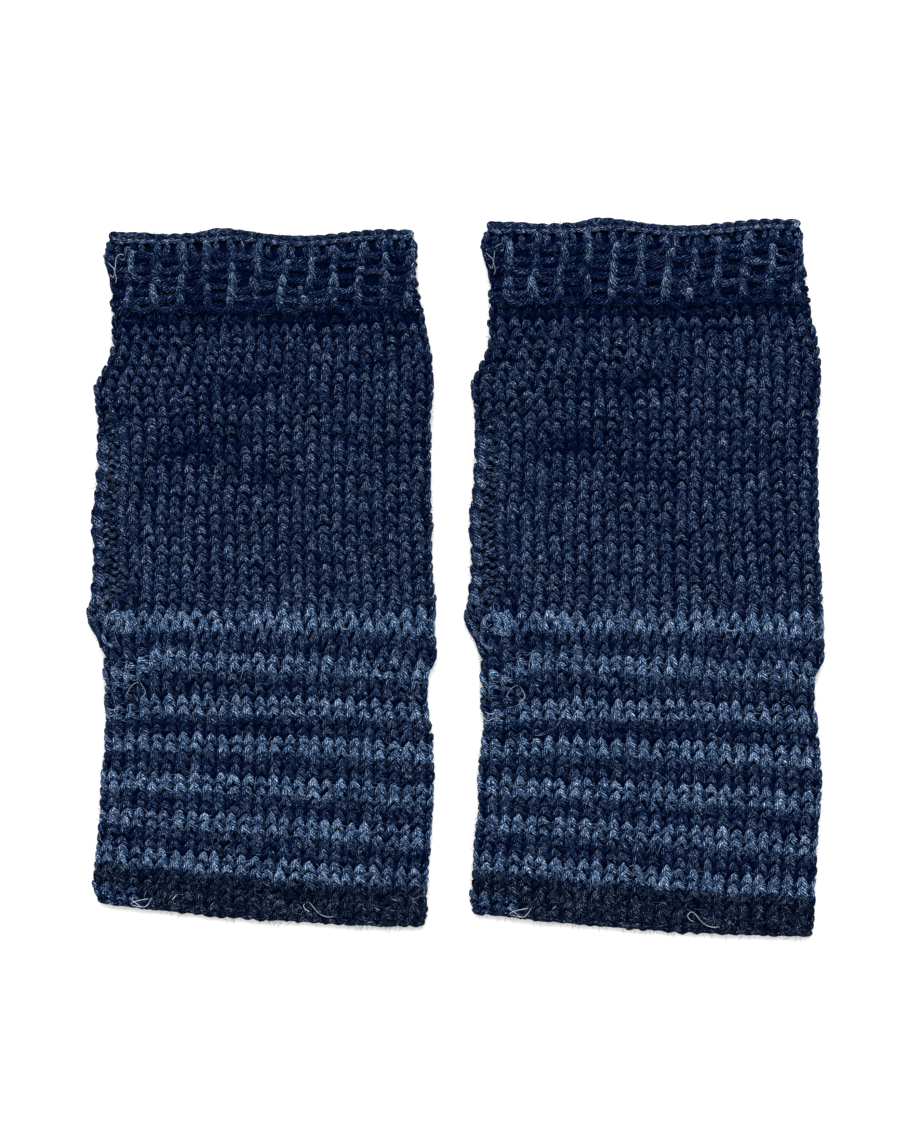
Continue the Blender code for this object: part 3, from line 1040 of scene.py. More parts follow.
@dataclass
class RowLines:
    """Plain lines along the rows, with what each of their points needs to become part of a loop."""

    tube: FlatTube
    bed: float = 0.9
    valley_depth: float = 0.15
    valley_width: float = 0.9
    proud_chance: float = 0.12
    dent_shade: float = 1.1
    fold_lift: float = 0.35
    rib_lean: float = 0.12
    slit_overlap: float = 0.3
    front_stitches: int = 24
    front_steps: int = 10
    back_steps: int = 7
    parts: list[dict[str, Array]] = field(default_factory=list)

    def distance(self, stitch: Array, course: Array, knit: Knit) -> Array:
        """How far round the tube a stitch lies, in millimetres.

        Args:
            stitch: Stitches round the tube.
            course: The row's course.
            knit: How the row is knitted. The rib's columns stand where its ridges are.

        Returns:
            Distances in millimetres.
        """
        around = self.tube.perimeter(course)
        if knit is not Knit.RIB:
            return stitch / STITCHES * around
        tube, section, half = self.tube, self.tube.section(course), self.front_stitches
        radius = section["height"] / 2
        column = tube.first_rib + self.rib_lean * (RIB_END - course)
        quarter = math.pi / 2 * (radius - tube.cloth_depth)
        start = column - tube.rib_pitch - section["x_left"] - radius + quarter
        front = start + tube.rib_pitch / 2 * stitch
        turn_over = start + tube.rib_pitch / 2 * half
        back = turn_over + (around + start - turn_over) * (stitch - half) / (STITCHES - half)
        return np.where(stitch < half, front, back)

    def at(self, stitch: Array, course: Array, row: Row) -> Array:
        """Places the bed that the yarn lies on.

        Args:
            stitch: Stitches round the tube.
            course: Their courses.
            row: Their row.

        Returns:
            The points in metres, in the pair's frame.
        """
        distance = self.distance(stitch, course, row.knit)
        valley = self.valley_depth * bell(course, RIB_VALLEY, self.valley_width)
        return self.tube.place(distance, course, self.bed + row.sunk + valley, row.knit is Knit.RIB)

    def waves(self, stitch: Array, knit: Knit) -> dict[str, Array]:
        """How a loop's yarn moves along its row.

        Args:
            stitch: Stitches round the tube. In the rib, the even ones are knit.
            knit: How the row is knitted.

        Returns:
            "pull" sideways, "rise" towards the loop's foot, "lift" out of the cloth, "girth", and
            "shine", how much paler the yarn shows there than its height alone would make it: painted
            light on the loops' heads and painted shade on the rib's bars.
        """
        turn = 2 * math.pi * stitch
        level = np.zeros_like(stitch)
        if knit is Knit.PLAIN:
            # Two legs lean together at the top, and their feet lie under the next row's tops.
            return {
                "pull": np.sin(turn),
                "rise": -0.88 * np.cos(turn) - 0.12 * np.cos(3 * turn),
                "lift": 0.5 * np.cos(turn) - 0.25 * np.cos(2 * turn),
                "girth": level + 1,
                "shine": 0.28 * np.cos(turn) - 0.09,
            }
        if knit is Knit.PURL:
            rise, lift = -0.55 * np.cos(turn), 0.4 * np.cos(2 * turn)
            return {"pull": level, "rise": rise, "lift": lift, "girth": level + 0.85, "shine": level}
        # A knit stitch is a narrow arch that stands out, and a purl one a bar from its foot to the next arch,
        # painted darker as shade.
        near = np.abs(np.mod(stitch + 1, 2) - 1)
        bar = np.sin(math.pi * np.clip(near - 0.5, 0, 0.5))
        return {
            "pull": np.sin(turn / 2),
            "rise": np.where(near < 0.5, -np.cos(turn), 1 + 0.3 * bar),
            "lift": np.where(near < 0.5, 0.35 + 0.55 * np.cos(turn), -0.4 + 0.45 * bar),
            "girth": np.where(near < 0.5, 0.88, 1.1),
            "shine": -0.1 - 0.28 * bar,
        }

    def chances(self, stitch: Array, row: Row) -> list[Array]:
        """Draws five smooth runs of chance along a row, which close where the row does.

        Args:
            stitch: Stitches round the tube.
            row: The row.

        Returns:
            The runs' values there.
        """
        chance = np.random.default_rng(round(row.course * 100) + 7).normal(size=(5, STITCHES + 3))
        chance[:, STITCHES + 1] = chance[:, 1]
        whole = np.arange(-1, STITCHES + 2)
        return [np.interp(stitch, whole, part) for part in chance]

    def shade(self, course: float) -> float:
        """How much darker a row's yarn shows, as painted shade."""
        return sum(amount * bell(course, middle, width) for amount, middle, width in SHADES)

    def stitches(self, row: Row) -> tuple[Array, bool]:
        """Spaces a row's points.

        Args:
            row: The row.

        Returns:
            Their stitches round the tube, and whether the row closes round it.
        """
        half = STITCHES / 2
        start, end = 0.0, float(STITCHES)
        in_slit = row.knit is Knit.PLAIN and SLIT_START < row.course < SLIT_END
        is_open = in_slit or row.span is not None
        if row.span is not None:
            start, end = row.span
            half = max(start, min(end, half))
        elif in_slit:
            start, end = self.tube.edge_stitch(row.course), end + self.slit_overlap
        front = np.linspace(start, half, round((half - start) * self.front_steps), endpoint=False)
        back = np.linspace(half, end, round((end - half) * self.back_steps), endpoint=is_open)
        return np.concatenate([front, back]), not is_open

    def add(self, row: Row) -> None:
        """Adds one row, which is open where the thumb slit crosses it.

        Args:
            row: The row.
        """
        form = RIB_LOOPS if row.knit is Knit.RIB else PLAIN_LOOPS
        even, closed = self.stitches(row)
        taller, prouder, paler, aside, up = self.chances(even, row)
        stitch = even + form.by_side * aside
        courses = np.full_like(even, row.course) + form.by_course * up
        step = 0.05
        across = self.at(stitch + step, courses, row) - self.at(stitch - step, courses, row)
        down = self.at(stitch, courses + step, row) - self.at(stitch, courses - step, row)
        across, down = across / (2 * step), down / (2 * step) * row.tall
        # Loops stand square to their row, however far the columns lean.
        lean = np.sum(down * across, axis=1) / np.sum(across * across, axis=1)
        down = down - across * lean[:, None]
        out = np.cross(down, across)
        out /= np.linalg.norm(out, axis=1, keepdims=True)
        waves = self.waves(stitch - form.by_side * aside, row.knit)
        waves["rise"] = waves["rise"] * (1 + form.by_height * taller)
        waves["lift"] = waves["lift"] + self.proud_chance * prouder
        points = self.at(stitch, courses, row)
        x, y = ((points[:, k] / MM - self.tube.centre[k]) / self.tube.scale for k in (0, 1))
        # Painted shade: the yarn on top shows darker in the front layer's creases.
        painted_crease_shade = self.dent_shade * self.tube.dent(x, y) * (out[:, 2] > 0.5)
        paler = row.lightness + form.by_shade * paler
        # Painted light and shade on the yarn: lighter where it stands out and at loops' heads, darker where
        # it lies deep, below the rib, in its groove and in creases, with the row's tone.
        waves["proud"] = waves["lift"] + waves.pop("shine") + paler - self.shade(row.course) - painted_crease_shade
        # At the folds the loops lie flatter, so the edges are only a little knobbly.
        flatness = self.fold_lift + (1 - self.fold_lift) * np.abs(out[:, 2])
        waves["lift"] = waves["lift"] * flatness
        basis = {"points": points, "across": across, "down": down, "out": out}
        self.parts.append({**basis, "closed": np.array(closed), **waves})

    def shape(self, form: Loops, seed: int) -> Shape:
        """Joins the rows.

        Args:
            form: The form of their loops.
            seed: The seed of their small noises.

        Returns:
            The lines, for the knitting tree.
        """
        edges: list[tuple[int, int]] = []
        first = 0
        for part in self.parts:
            last = first + len(part["points"]) - 1
            edges += [(k, k + 1) for k in range(first, last)]
            if part["closed"]:
                edges.append((last, first))
            first = last + 1
        keys = [key for key in self.parts[0] if key != "closed"]
        joined = {key: np.concatenate([part[key] for part in self.parts]) for key in keys}
        inputs = inputs_of(form, self.tube.unit, ("radius", "depth", "unevenness", "waver"))
        return Shape(joined.pop("points"), joined, {**inputs, "seed": seed}, edges)


# Chains of loops

@dataclass(frozen=True)
class Links:
    """The form of a chain's links. Lengths are in millimetres and turns in radians."""

    length: float
    width: float
    radius: float
    turn: float
    lightness: float
    lean: float = 0.1
    side_light: float = 0.0
    sides: int = 8
    steps: int = 18

    def shape(self, points: Array, heading: Array, out: Array, size: Array, unit: float) -> Shape:
        """Lays one link at each point.

        Args:
            points: Where the links lie, in metres.
            heading: Which way they point.
            out: Which way they face.
            size: Factors on their length, width and height.
            unit: One of the hand warmer's millimetres, in metres.

        Returns:
            The points, for the chain tree.
        """
        heading = heading / np.linalg.norm(heading, axis=1, keepdims=True)
        inputs = inputs_of(self, unit, ("length", "width", "radius"))
        return Shape(points, {"heading": heading, "out": out, "size": size}, inputs)


def evenly_along(points: Array, count: int) -> Array:
    """Picks points evenly spaced along a closed line.

    Args:
        points: The line's own points.
        count: How many to pick.

    Returns:
        The picked points.
    """
    loop = np.vstack([points, points[:1]])
    length = np.concatenate([[0.0], np.cumsum(np.linalg.norm(np.diff(loop, axis=0), axis=1))])
    at = np.arange(count) / count * length[-1]
    return np.stack([np.interp(at, length, column) for column in loop.T], axis=1)


@dataclass
class BindOffChain:
    """The chain of stitches round the finger opening."""

    tube: FlatTube
    count: int = 50
    links: Links = Links(4.4, 2.05, 0.78, 0.04, 0.62, lean=0.22, side_light=0.35, sides=7, steps=16)
    back_share: float = 0.45
    inset: float = 3.0
    bulge: float = 0.9
    front_shift: float = 0.9
    back_shift: float = 0.1

    def shape(self) -> Shape:
        """Lays the links along the front's edge, round the right fold and back under it.

        Returns:
            The links' points, for the chain tree.
        """
        tube = self.tube
        top, low = tube.chain_front_z, tube.chain_back_z
        middle, high = (top + low) / 2, (top - low) / 2
        shares, bend = np.linspace(0, 1, 101), np.radians([60, 0, -60])
        line = np.vstack(
            [
                self.run(shares, np.ones(101), 0.0),
                self.run(np.ones(3), 0.5 + 0.5 * np.sin(bend), self.bulge * np.cos(bend)),
                self.run(shares[::-1], np.zeros(101), 0.0),
                self.run(np.zeros(3), 0.5 - 0.5 * np.sin(bend), -self.bulge * np.cos(bend)),
            ]
        )
        line = evenly_along(line, self.count)
        place = tube.world(*line.T)
        share = np.clip((line[:, 2] - middle) / high, -1, 1)
        ones = np.ones(self.count)
        out = np.stack([0 * ones, 0.45 * ones, np.where(share > 0, 1.0, -1.0)], axis=1)
        near_fold = np.abs(share) < 0.8
        out[near_fold, 0] = np.sign(line[near_fold, 0])
        heading = np.roll(place, -1, axis=0) - np.roll(place, 1, axis=0)
        # The back's links are narrower, and their lower strands hide behind the front's.
        size = np.stack([ones, np.where(share > 0, 1.0, self.back_share), ones], axis=1)
        return self.links.shape(place, heading, out, size, tube.unit)

    def run(self, share: Array, layer: Array, aside: Array | float) -> Array:
        """A stretch of the chain's middle line.

        Args:
            share: Shares of the width, from the left fold.
            layer: 0 on the back and 1 on the front.
            aside: How far it swings out to the right.

        Returns:
            Its points in millimetres, in the hand warmer's own frame.
        """
        first = self.tube.section(np.array([0.0]))
        left, right = first["x_left"][0] + self.inset, first["x_right"][0] - self.inset
        x = left + (right - left) * share + aside
        y = self.tube.chain_y(share, layer) + self.back_shift + (self.front_shift - self.back_shift) * layer
        low, top = self.tube.chain_back_z, self.tube.chain_front_z
        return np.stack([x, y, low + (top - low) * layer], axis=1)


@dataclass
class ThumbEdge:
    """The slanted edge stitches that stand up along the slit, and the front layer's own edge."""

    tube: FlatTube
    stroke: Links = Links(5.3, 1.0, 1.02, turn=0.38, lightness=0.5)
    stroke_count: int = 9
    strokes_start: float = 18.2
    strokes_end: float = 34.8
    strokes_inset: float = 1.85
    strokes_z: float = 4.35
    front_stitch: Links = Links(4.4, 0.9, 0.72, turn=0.42, lightness=0.2)
    front_count: int = 11
    front_start: float = 17.2
    front_end: float = 34.4
    front_inset: float = 0.3
    front_z: float = 3.5

    def strokes(self) -> Shape:
        """Lays the back layer's edge stitches.

        Returns:
            The points, for the chain tree.
        """
        share = (np.arange(self.stroke_count) + 0.5) / self.stroke_count
        course = self.strokes_start + (self.strokes_end - self.strokes_start) * share
        return self.lay(course, np.full_like(course, self.strokes_inset), self.strokes_z, self.stroke)

    def front(self) -> Shape:
        """Lays the front layer's edge stitches.

        Returns:
            The points, for the chain tree.
        """
        course = np.linspace(self.front_start, self.front_end, self.front_count)
        inset = smooth_curve(*FRONT_EDGE.T, course) + self.front_inset
        return self.lay(course, inset, self.front_z, self.front_stitch)

    def lay(self, course: Array, inset: Array, z: float, links: Links) -> Shape:
        """Lays one loop at each course.

        Args:
            course: The courses.
            inset: How far in from the left fold the loops lie.
            z: How high their middles are.
            links: Their form.

        Returns:
            The points, for the chain tree.
        """
        section = self.tube.section(course)
        x = section["x_left"] + inset
        across = (x - section["x_left"]) / (section["x_right"] - section["x_left"])
        place = self.tube.world(x, self.tube.course_y(course, across, np.ones_like(course)), z)
        out = np.tile([0.0, 0.0, 1.0], (len(x), 1))
        uneven = np.random.default_rng(7).uniform(0.92, 1.08, (len(x), 1))
        size = np.repeat(uneven, 3, axis=1)
        return links.shape(place, np.gradient(place, axis=0), out, size, self.tube.unit)


# The cloth under the loops, nearly black as painted shade

@dataclass
class KnittedCloth:
    """The thin cloth under the loops of one hand warmer, open at both ends and along the slit, coloured as
    painted shade.
    """

    tube: FlatTube
    columns: int = 64
    rings_above: int = 11
    rings_beside: int = 15
    rings_below: int = 25
    outer_depth: float = 1.3
    inner_depth: float = 1.6
    inner_room: float = 0.25

    def build(self, name: str, ground: Material) -> Object:
        """Builds the cloth, a closed thin shell.

        Args:
            name: The piece's name.
            ground: Its finish, nearly black, which paints the shade between the loops.

        Returns:
            The finished piece.
        """
        above = np.linspace(0.0, SLIT_START, self.rings_above + 1)[:-1]
        beside = np.linspace(SLIT_START, SLIT_END, self.rings_beside)
        below = np.linspace(SLIT_END, CLOTH_END, self.rings_below + 1)[1:]
        courses = np.concatenate([above, beside, below])
        rows, columns = len(courses), self.columns
        sides = [self.rings(courses, depth) for depth in (self.outer_depth, self.inner_depth)]
        points = np.concatenate([side.reshape(-1, 3) for side in sides])
        cells = {
            (row, column)
            for row in range(rows - 1)
            for column in range(columns)
            if not (column == columns - 1 and courses[row] >= SLIT_START and courses[row + 1] <= SLIT_END)
        }

        def at(row: int, column: int, side: int) -> int:
            """The number of a ring's point on one side of the cloth."""
            return side * rows * columns + row * columns + column % columns

        faces = []
        for row, column in sorted(cells):
            corners = ((row, column), (row, column + 1), (row + 1, column + 1), (row + 1, column))
            faces.append([at(r, c, 0) for r, c in reversed(corners)])
            faces.append([at(r, c, 1) for r, c in corners])
            right, left = (column + 1) % columns, (column - 1) % columns
            around = ((row - 1, column), (row, right), (row + 1, column), (row, left))
            for side, neighbour in enumerate(around):
                if neighbour not in cells:
                    (r0, c0), (r1, c1) = corners[side], corners[(side + 1) % 4]
                    faces.append([at(r0, c0, 0), at(r1, c1, 0), at(r1, c1, 1), at(r0, c0, 1)])
        obj = new_object(name, points, faces=faces)
        face_outwards(obj)
        obj.data.materials.append(ground)
        return obj

    def rings(self, courses: Array, depth: float) -> Array:
        """One face of the cloth as rings of points.

        Args:
            courses: The rings' courses.
            depth: How far that face lies below the tube's outer one.

        Returns:
            The points, by ring and column.
        """
        tube = self.tube
        around = tube.perimeter(courses)
        inside = (courses > SLIT_START) & (courses < SLIT_END)
        touching = (courses >= SLIT_START) & (courses <= SLIT_END)
        start = np.where(inside, tube.front_edge(courses), 0.0)
        end = np.where(touching, around, around * (1 - 1 / self.columns))
        distance = start[:, None] + (end - start)[:, None] * np.linspace(0, 1, self.columns)
        room = tube.section(courses)["height"][:, None] / 2 - self.inner_room
        spread = np.broadcast_to(courses[:, None], distance.shape)
        return tube.place(distance, spread, np.minimum(depth, room - 0.5 * (depth < self.inner_depth)))


def face_outwards(obj: Object) -> None:
    """Merges a mesh's doubled points and turns its faces outwards.

    Args:
        obj: The mesh's object.
    """
    work = bmesh.new()
    work.from_mesh(obj.data)
    bmesh.ops.remove_doubles(work, verts=work.verts, dist=1e-7)
    bmesh.ops.recalc_face_normals(work, faces=work.faces)
    if work.calc_volume(signed=True) < 0:
        bmesh.ops.reverse_faces(work, faces=work.faces)
    work.to_mesh(obj.data)
    work.free()
    obj.data.shade_smooth()


# Loose strands

@dataclass(frozen=True)
class Strand:
    """A loose strand: its height, its radius and its points, from end to end."""

    z: float
    radius: float
    points: tuple[tuple[float, float], ...]


# The knot of denim yarn under the slit, where the first stripe begins
KNOT = (
    Strand(5.1, 0.72, (
        (-47.1, -15.8), (-47.6, -13.6), (-46.5, -11.8), (-44.6, -11.2), (-43.1, -12.1),
        (-43.1, -13.9), (-44.3, -15.5), (-46.2, -16.1),
    )),
    Strand(5.3, 0.8, ((-44.3, -11.2), (-42.2, -11.5), (-40.9, -13.3), (-40.8, -15.5), (-41.2, -17.4))),
    Strand(5.2, 0.7, ((-43.4, -16.7), (-41.8, -17.0), (-40.6, -16.4))),
    Strand(5.0, 0.6, ((-48.7, -17.4), (-48.0, -19.5), (-46.5, -21.1), (-44.6, -21.1))),
)
# Navy strands at the slit's lower end, and one across its middle
SLIT_STRANDS = (
    Strand(4.6, 0.85, ((-48.7, -5.3), (-50.8, -6.5), (-52.1, -9.0), (-50.8, -10.8))),
    Strand(4.6, 0.8, ((-45.9, -5.5), (-47.7, -6.6), (-48.7, -8.6), (-47.1, -10.5))),
    Strand(4.2, 0.8, ((-43.6, -4.4), (-45.3, -3.6), (-46.9, -4.0))),
    Strand(4.4, 0.85, ((-45.8, 30.6), (-43.9, 31.0), (-42.0, 29.2))),
)
# Stray fibres that curl on top
STRAYS = (
    Strand(5.8, 0.07, (
        (-46.2, 93.6), (-45.1, 92.7), (-44.5, 96.2), (-44.2, 98.7), (-42.9, 99.8), (-41.7, 99.2),
        (-42.0, 98.0), (-43.1, 98.3),
    )),
    Strand(5.8, 0.07, ((-46.9, 97.3), (-45.8, 96.2), (-44.9, 95.1), (-44.2, 92.0), (-44.6, 90.8))),
    Strand(5.4, 0.07, ((24.8, -15.2), (26.3, -16.1), (28.2, -15.8))),
    Strand(5.2, 0.06, ((51.1, -13.9), (53.0, -13.3), (54.4, -15.2), (53.9, -17.7), (52.1, -18.9))),
    Strand(5.4, 0.07, (
        (-41.1, -36.4), (-39.7, -33.8), (-37.5, -32.5), (-36.1, -33.8), (-35.3, -36.0), (-36.9, -37.5),
    )),
    Strand(5.3, 0.09, ((-47.3, -40.4), (-45.5, -41.1), (-42.6, -40.1))),
    Strand(5.3, 0.08, ((-48.0, -41.8), (-46.5, -43.1), (-44.8, -42.5))),
    Strand(5.4, 0.12, ((9.5, -41.1), (10.5, -42.2), (11.3, -42.6))),
    Strand(4.9, 0.09, ((-40.0, -101.1), (-38.7, -100.4), (-36.3, -99.8), (-34.4, -99.5))),
    Strand(4.9, 0.09, ((-39.7, -101.4), (-36.9, -102.0), (-35.0, -101.7), (-33.2, -99.2))),
    Strand(4.9, 0.08, ((-40.3, -99.2), (-38.4, -100.7), (-36.6, -102.1))),
    Strand(5.0, 0.1, ((-27.0, -99.8), (-25.7, -98.3))),
    Strand(4.6, 0.085, (
        (15.5, -103.5), (14.3, -102.9), (13.6, -101.7), (14.6, -100.6), (15.8, -101.1),
        (17.0, -102.6), (18.6, -104.2), (20.8, -105.1), (23.2, -105.1),
    )),
)


@dataclass
class LooseStrands:
    """Strands of one kind that lie on top of a hand warmer."""

    tube: FlatTube
    strands: tuple[Strand, ...]
    sides: int = 7
    lightness: float = 0.6
    steps: int = 5

    def shape(self) -> Shape:
        """Lays the strands, whose ends are thinner and sink into the wool.

        Returns:
            The lines, for the strand tree.
        """
        points, edges, girth = [], [], []
        for strand in self.strands:
            knots = np.array(strand.points)
            count = len(knots)
            at = np.linspace(0, count - 1, (count - 1) * self.steps + 1)
            x, y = (smooth_curve(np.arange(count), column, at) for column in knots.T)
            ends = np.minimum(at, at[::-1])
            sunk = strand.radius * 1.2 * np.clip(1 - ends, 0, 1) ** 2
            first = sum(len(part) for part in points)
            points.append(self.tube.world(x, y, strand.z - sunk))
            girth.append(strand.radius * (0.55 + 0.45 * np.clip(ends * 2, 0, 1)))
            edges += [(first + k, first + k + 1) for k in range(len(at) - 1)]
        thick = np.concatenate(girth)
        carried = {"girth": thick, "proud": np.full_like(thick, self.lightness)}
        inputs = {"sides": self.sides, "unit": self.tube.unit}
        return Shape(np.concatenate(points), carried, inputs, edges)


# Fibres

@dataclass(frozen=True)
class Fibres:
    """One kind of fibre: how many stand on a square metre, and its lengths in metres."""

    density: float
    length: float
    radius: float
    curl: float = 0.0016


@dataclass
class WoolHalo:
    """The fine fibres that stand off the wool."""

    tube: FlatTube
    seed: int
    navy: Fibres = Fibres(90000.0, 0.0024, 0.00004)
    denim: Fibres = Fibres(220000.0, 0.0024, 0.000045)
    edge: Fibres = Fibres(680000.0, 0.0022, 0.00006)
    columns: int = 90
    depth: float = 0.25
    edge_depth: float = 1.2
    edge_rings: int = 60
    edge_columns: int = 40
    edge_height: float = 0.6
    chain_margin: float = 1.7
    chain_drop: float = 0.5

    def fuzz(self, light: bool) -> Shape:
        """Plans the front's fibres.

        Args:
            light: Whether they are the light stripes' own, and not all the others.

        Returns:
            The surface that they grow on, for the halo tree.
        """
        columns = self.columns
        courses = np.arange(0.5, CLOTH_END, 0.5)
        around = self.tube.perimeter(courses)
        distance = np.linspace(-0.02, 0.52, columns)[None, :] * around[:, None]
        spread = np.broadcast_to(courses[:, None], distance.shape)
        points = self.tube.place(distance, spread, np.array(self.depth)).reshape(-1, 3)
        woolly = self.patches(distance.shape) * self.share(courses, light)[:, None]
        corners = [row * columns + k for row in range(len(courses) - 1) for k in range(columns - 1)]
        faces = [(k + columns, k + columns + 1, k + 1, k) for k in corners]
        fibres, seed = (self.denim, self.seed + 10) if light else (self.navy, self.seed)
        carried = {"woolly": woolly.ravel(), "stand": np.zeros(woolly.size)}
        return Shape(points, carried, {**inputs_of(fibres), "seed": seed}, faces=faces)

    def fringe(self) -> Shape:
        """Plans the short fibres that stand off the outline.

        Returns:
            A low band round the outline, for the halo tree.
        """
        tube, depth, count = self.tube, np.array(self.edge_depth), self.edge_columns
        courses = np.linspace(0.3, HEM_END, self.edge_rings)
        half = tube.perimeter(courses) / 2
        left, right = (tube.place(part, courses, depth) for part in (half * 0, half))
        hem = tube.place(np.linspace(0.02, 0.98, count) * half[-1], np.full(count, HEM_END), depth)
        shares = np.linspace(0.97, 0.03, count)
        first = tube.section(np.array([0.0]))
        x = first["x_left"] + (first["x_right"] - first["x_left"]) * shares
        y = tube.chain_y(shares, np.ones(count)) + self.chain_margin
        chain = tube.world(x, y, tube.chain_front_z - self.chain_drop)
        ring = np.concatenate([left, hem, right[::-1], chain])
        count = len(ring)
        high = np.array((0, 0, self.edge_height * MM))
        faces = [(k, (k + 1) % count, (k + 1) % count + count, k + count) for k in range(count)]
        points = np.concatenate([ring - high, ring + high])
        woolly = np.tile(self.patches((count, 1)).ravel(), 2)
        carried = {"woolly": woolly, "stand": np.ones(2 * count)}
        return Shape(points, carried, {**inputs_of(self.edge), "seed": self.seed + 20}, faces=faces)

    def patches(self, shape: tuple[int, int]) -> Array:
        """Spreads the fibres in soft patches.

        Args:
            shape: How many rows and columns of points there are.

        Returns:
            How thick the fibres lie at each point, about 1 on the whole.
        """
        patchy = np.random.default_rng(self.seed).random(shape)
        for _ in range(2):
            for axis in (0, 1):
                patchy = (patchy + np.roll(patchy, 1, axis) + np.roll(patchy, -1, axis)) / 3
        return np.clip(1 + 6 * (patchy - 0.5), 0.1, 2.2)

    def share(self, courses: Array, light: bool) -> Array:
        """Divides the courses between the light and the navy fibres.

        Args:
            courses: The courses.
            light: Whether the fibres are the light stripes' own.

        Returns:
            How thick they lie on each course.
        """
        in_stripe = (courses > WRIST_START) & (np.mod(courses - WRIST_START, 4) < 1.8)
        part = np.where(in_stripe == light, 1.0, 0.0)
        return np.where(courses > HEM_START - 1.5, 0.12 if light else 1.0, part)


# The pair

@dataclass(frozen=True)
class Workshop:
    """The geometry trees and the finishes that both hand warmers share."""

    knit: NodeTree = field(default_factory=knit_tree)
    chain: NodeTree = field(default_factory=chain_tree)
    strand: NodeTree = field(default_factory=strand_tree)
    halo: NodeTree = field(default_factory=halo_tree)
    navy: Material = field(default_factory=NAVY.material)
    denim: Material = field(default_factory=DENIM.material)
    hem: Material = field(default_factory=HEM.material)
    ground: Material = field(default_factory=SHADE_GROUND.material)
    navy_fibre: Material = field(default_factory=NAVY_FIBRE.material)
    denim_fibre: Material = field(default_factory=DENIM_FIBRE.material)
    stray_fibre: Material = field(default_factory=STRAY_FIBRE.material)


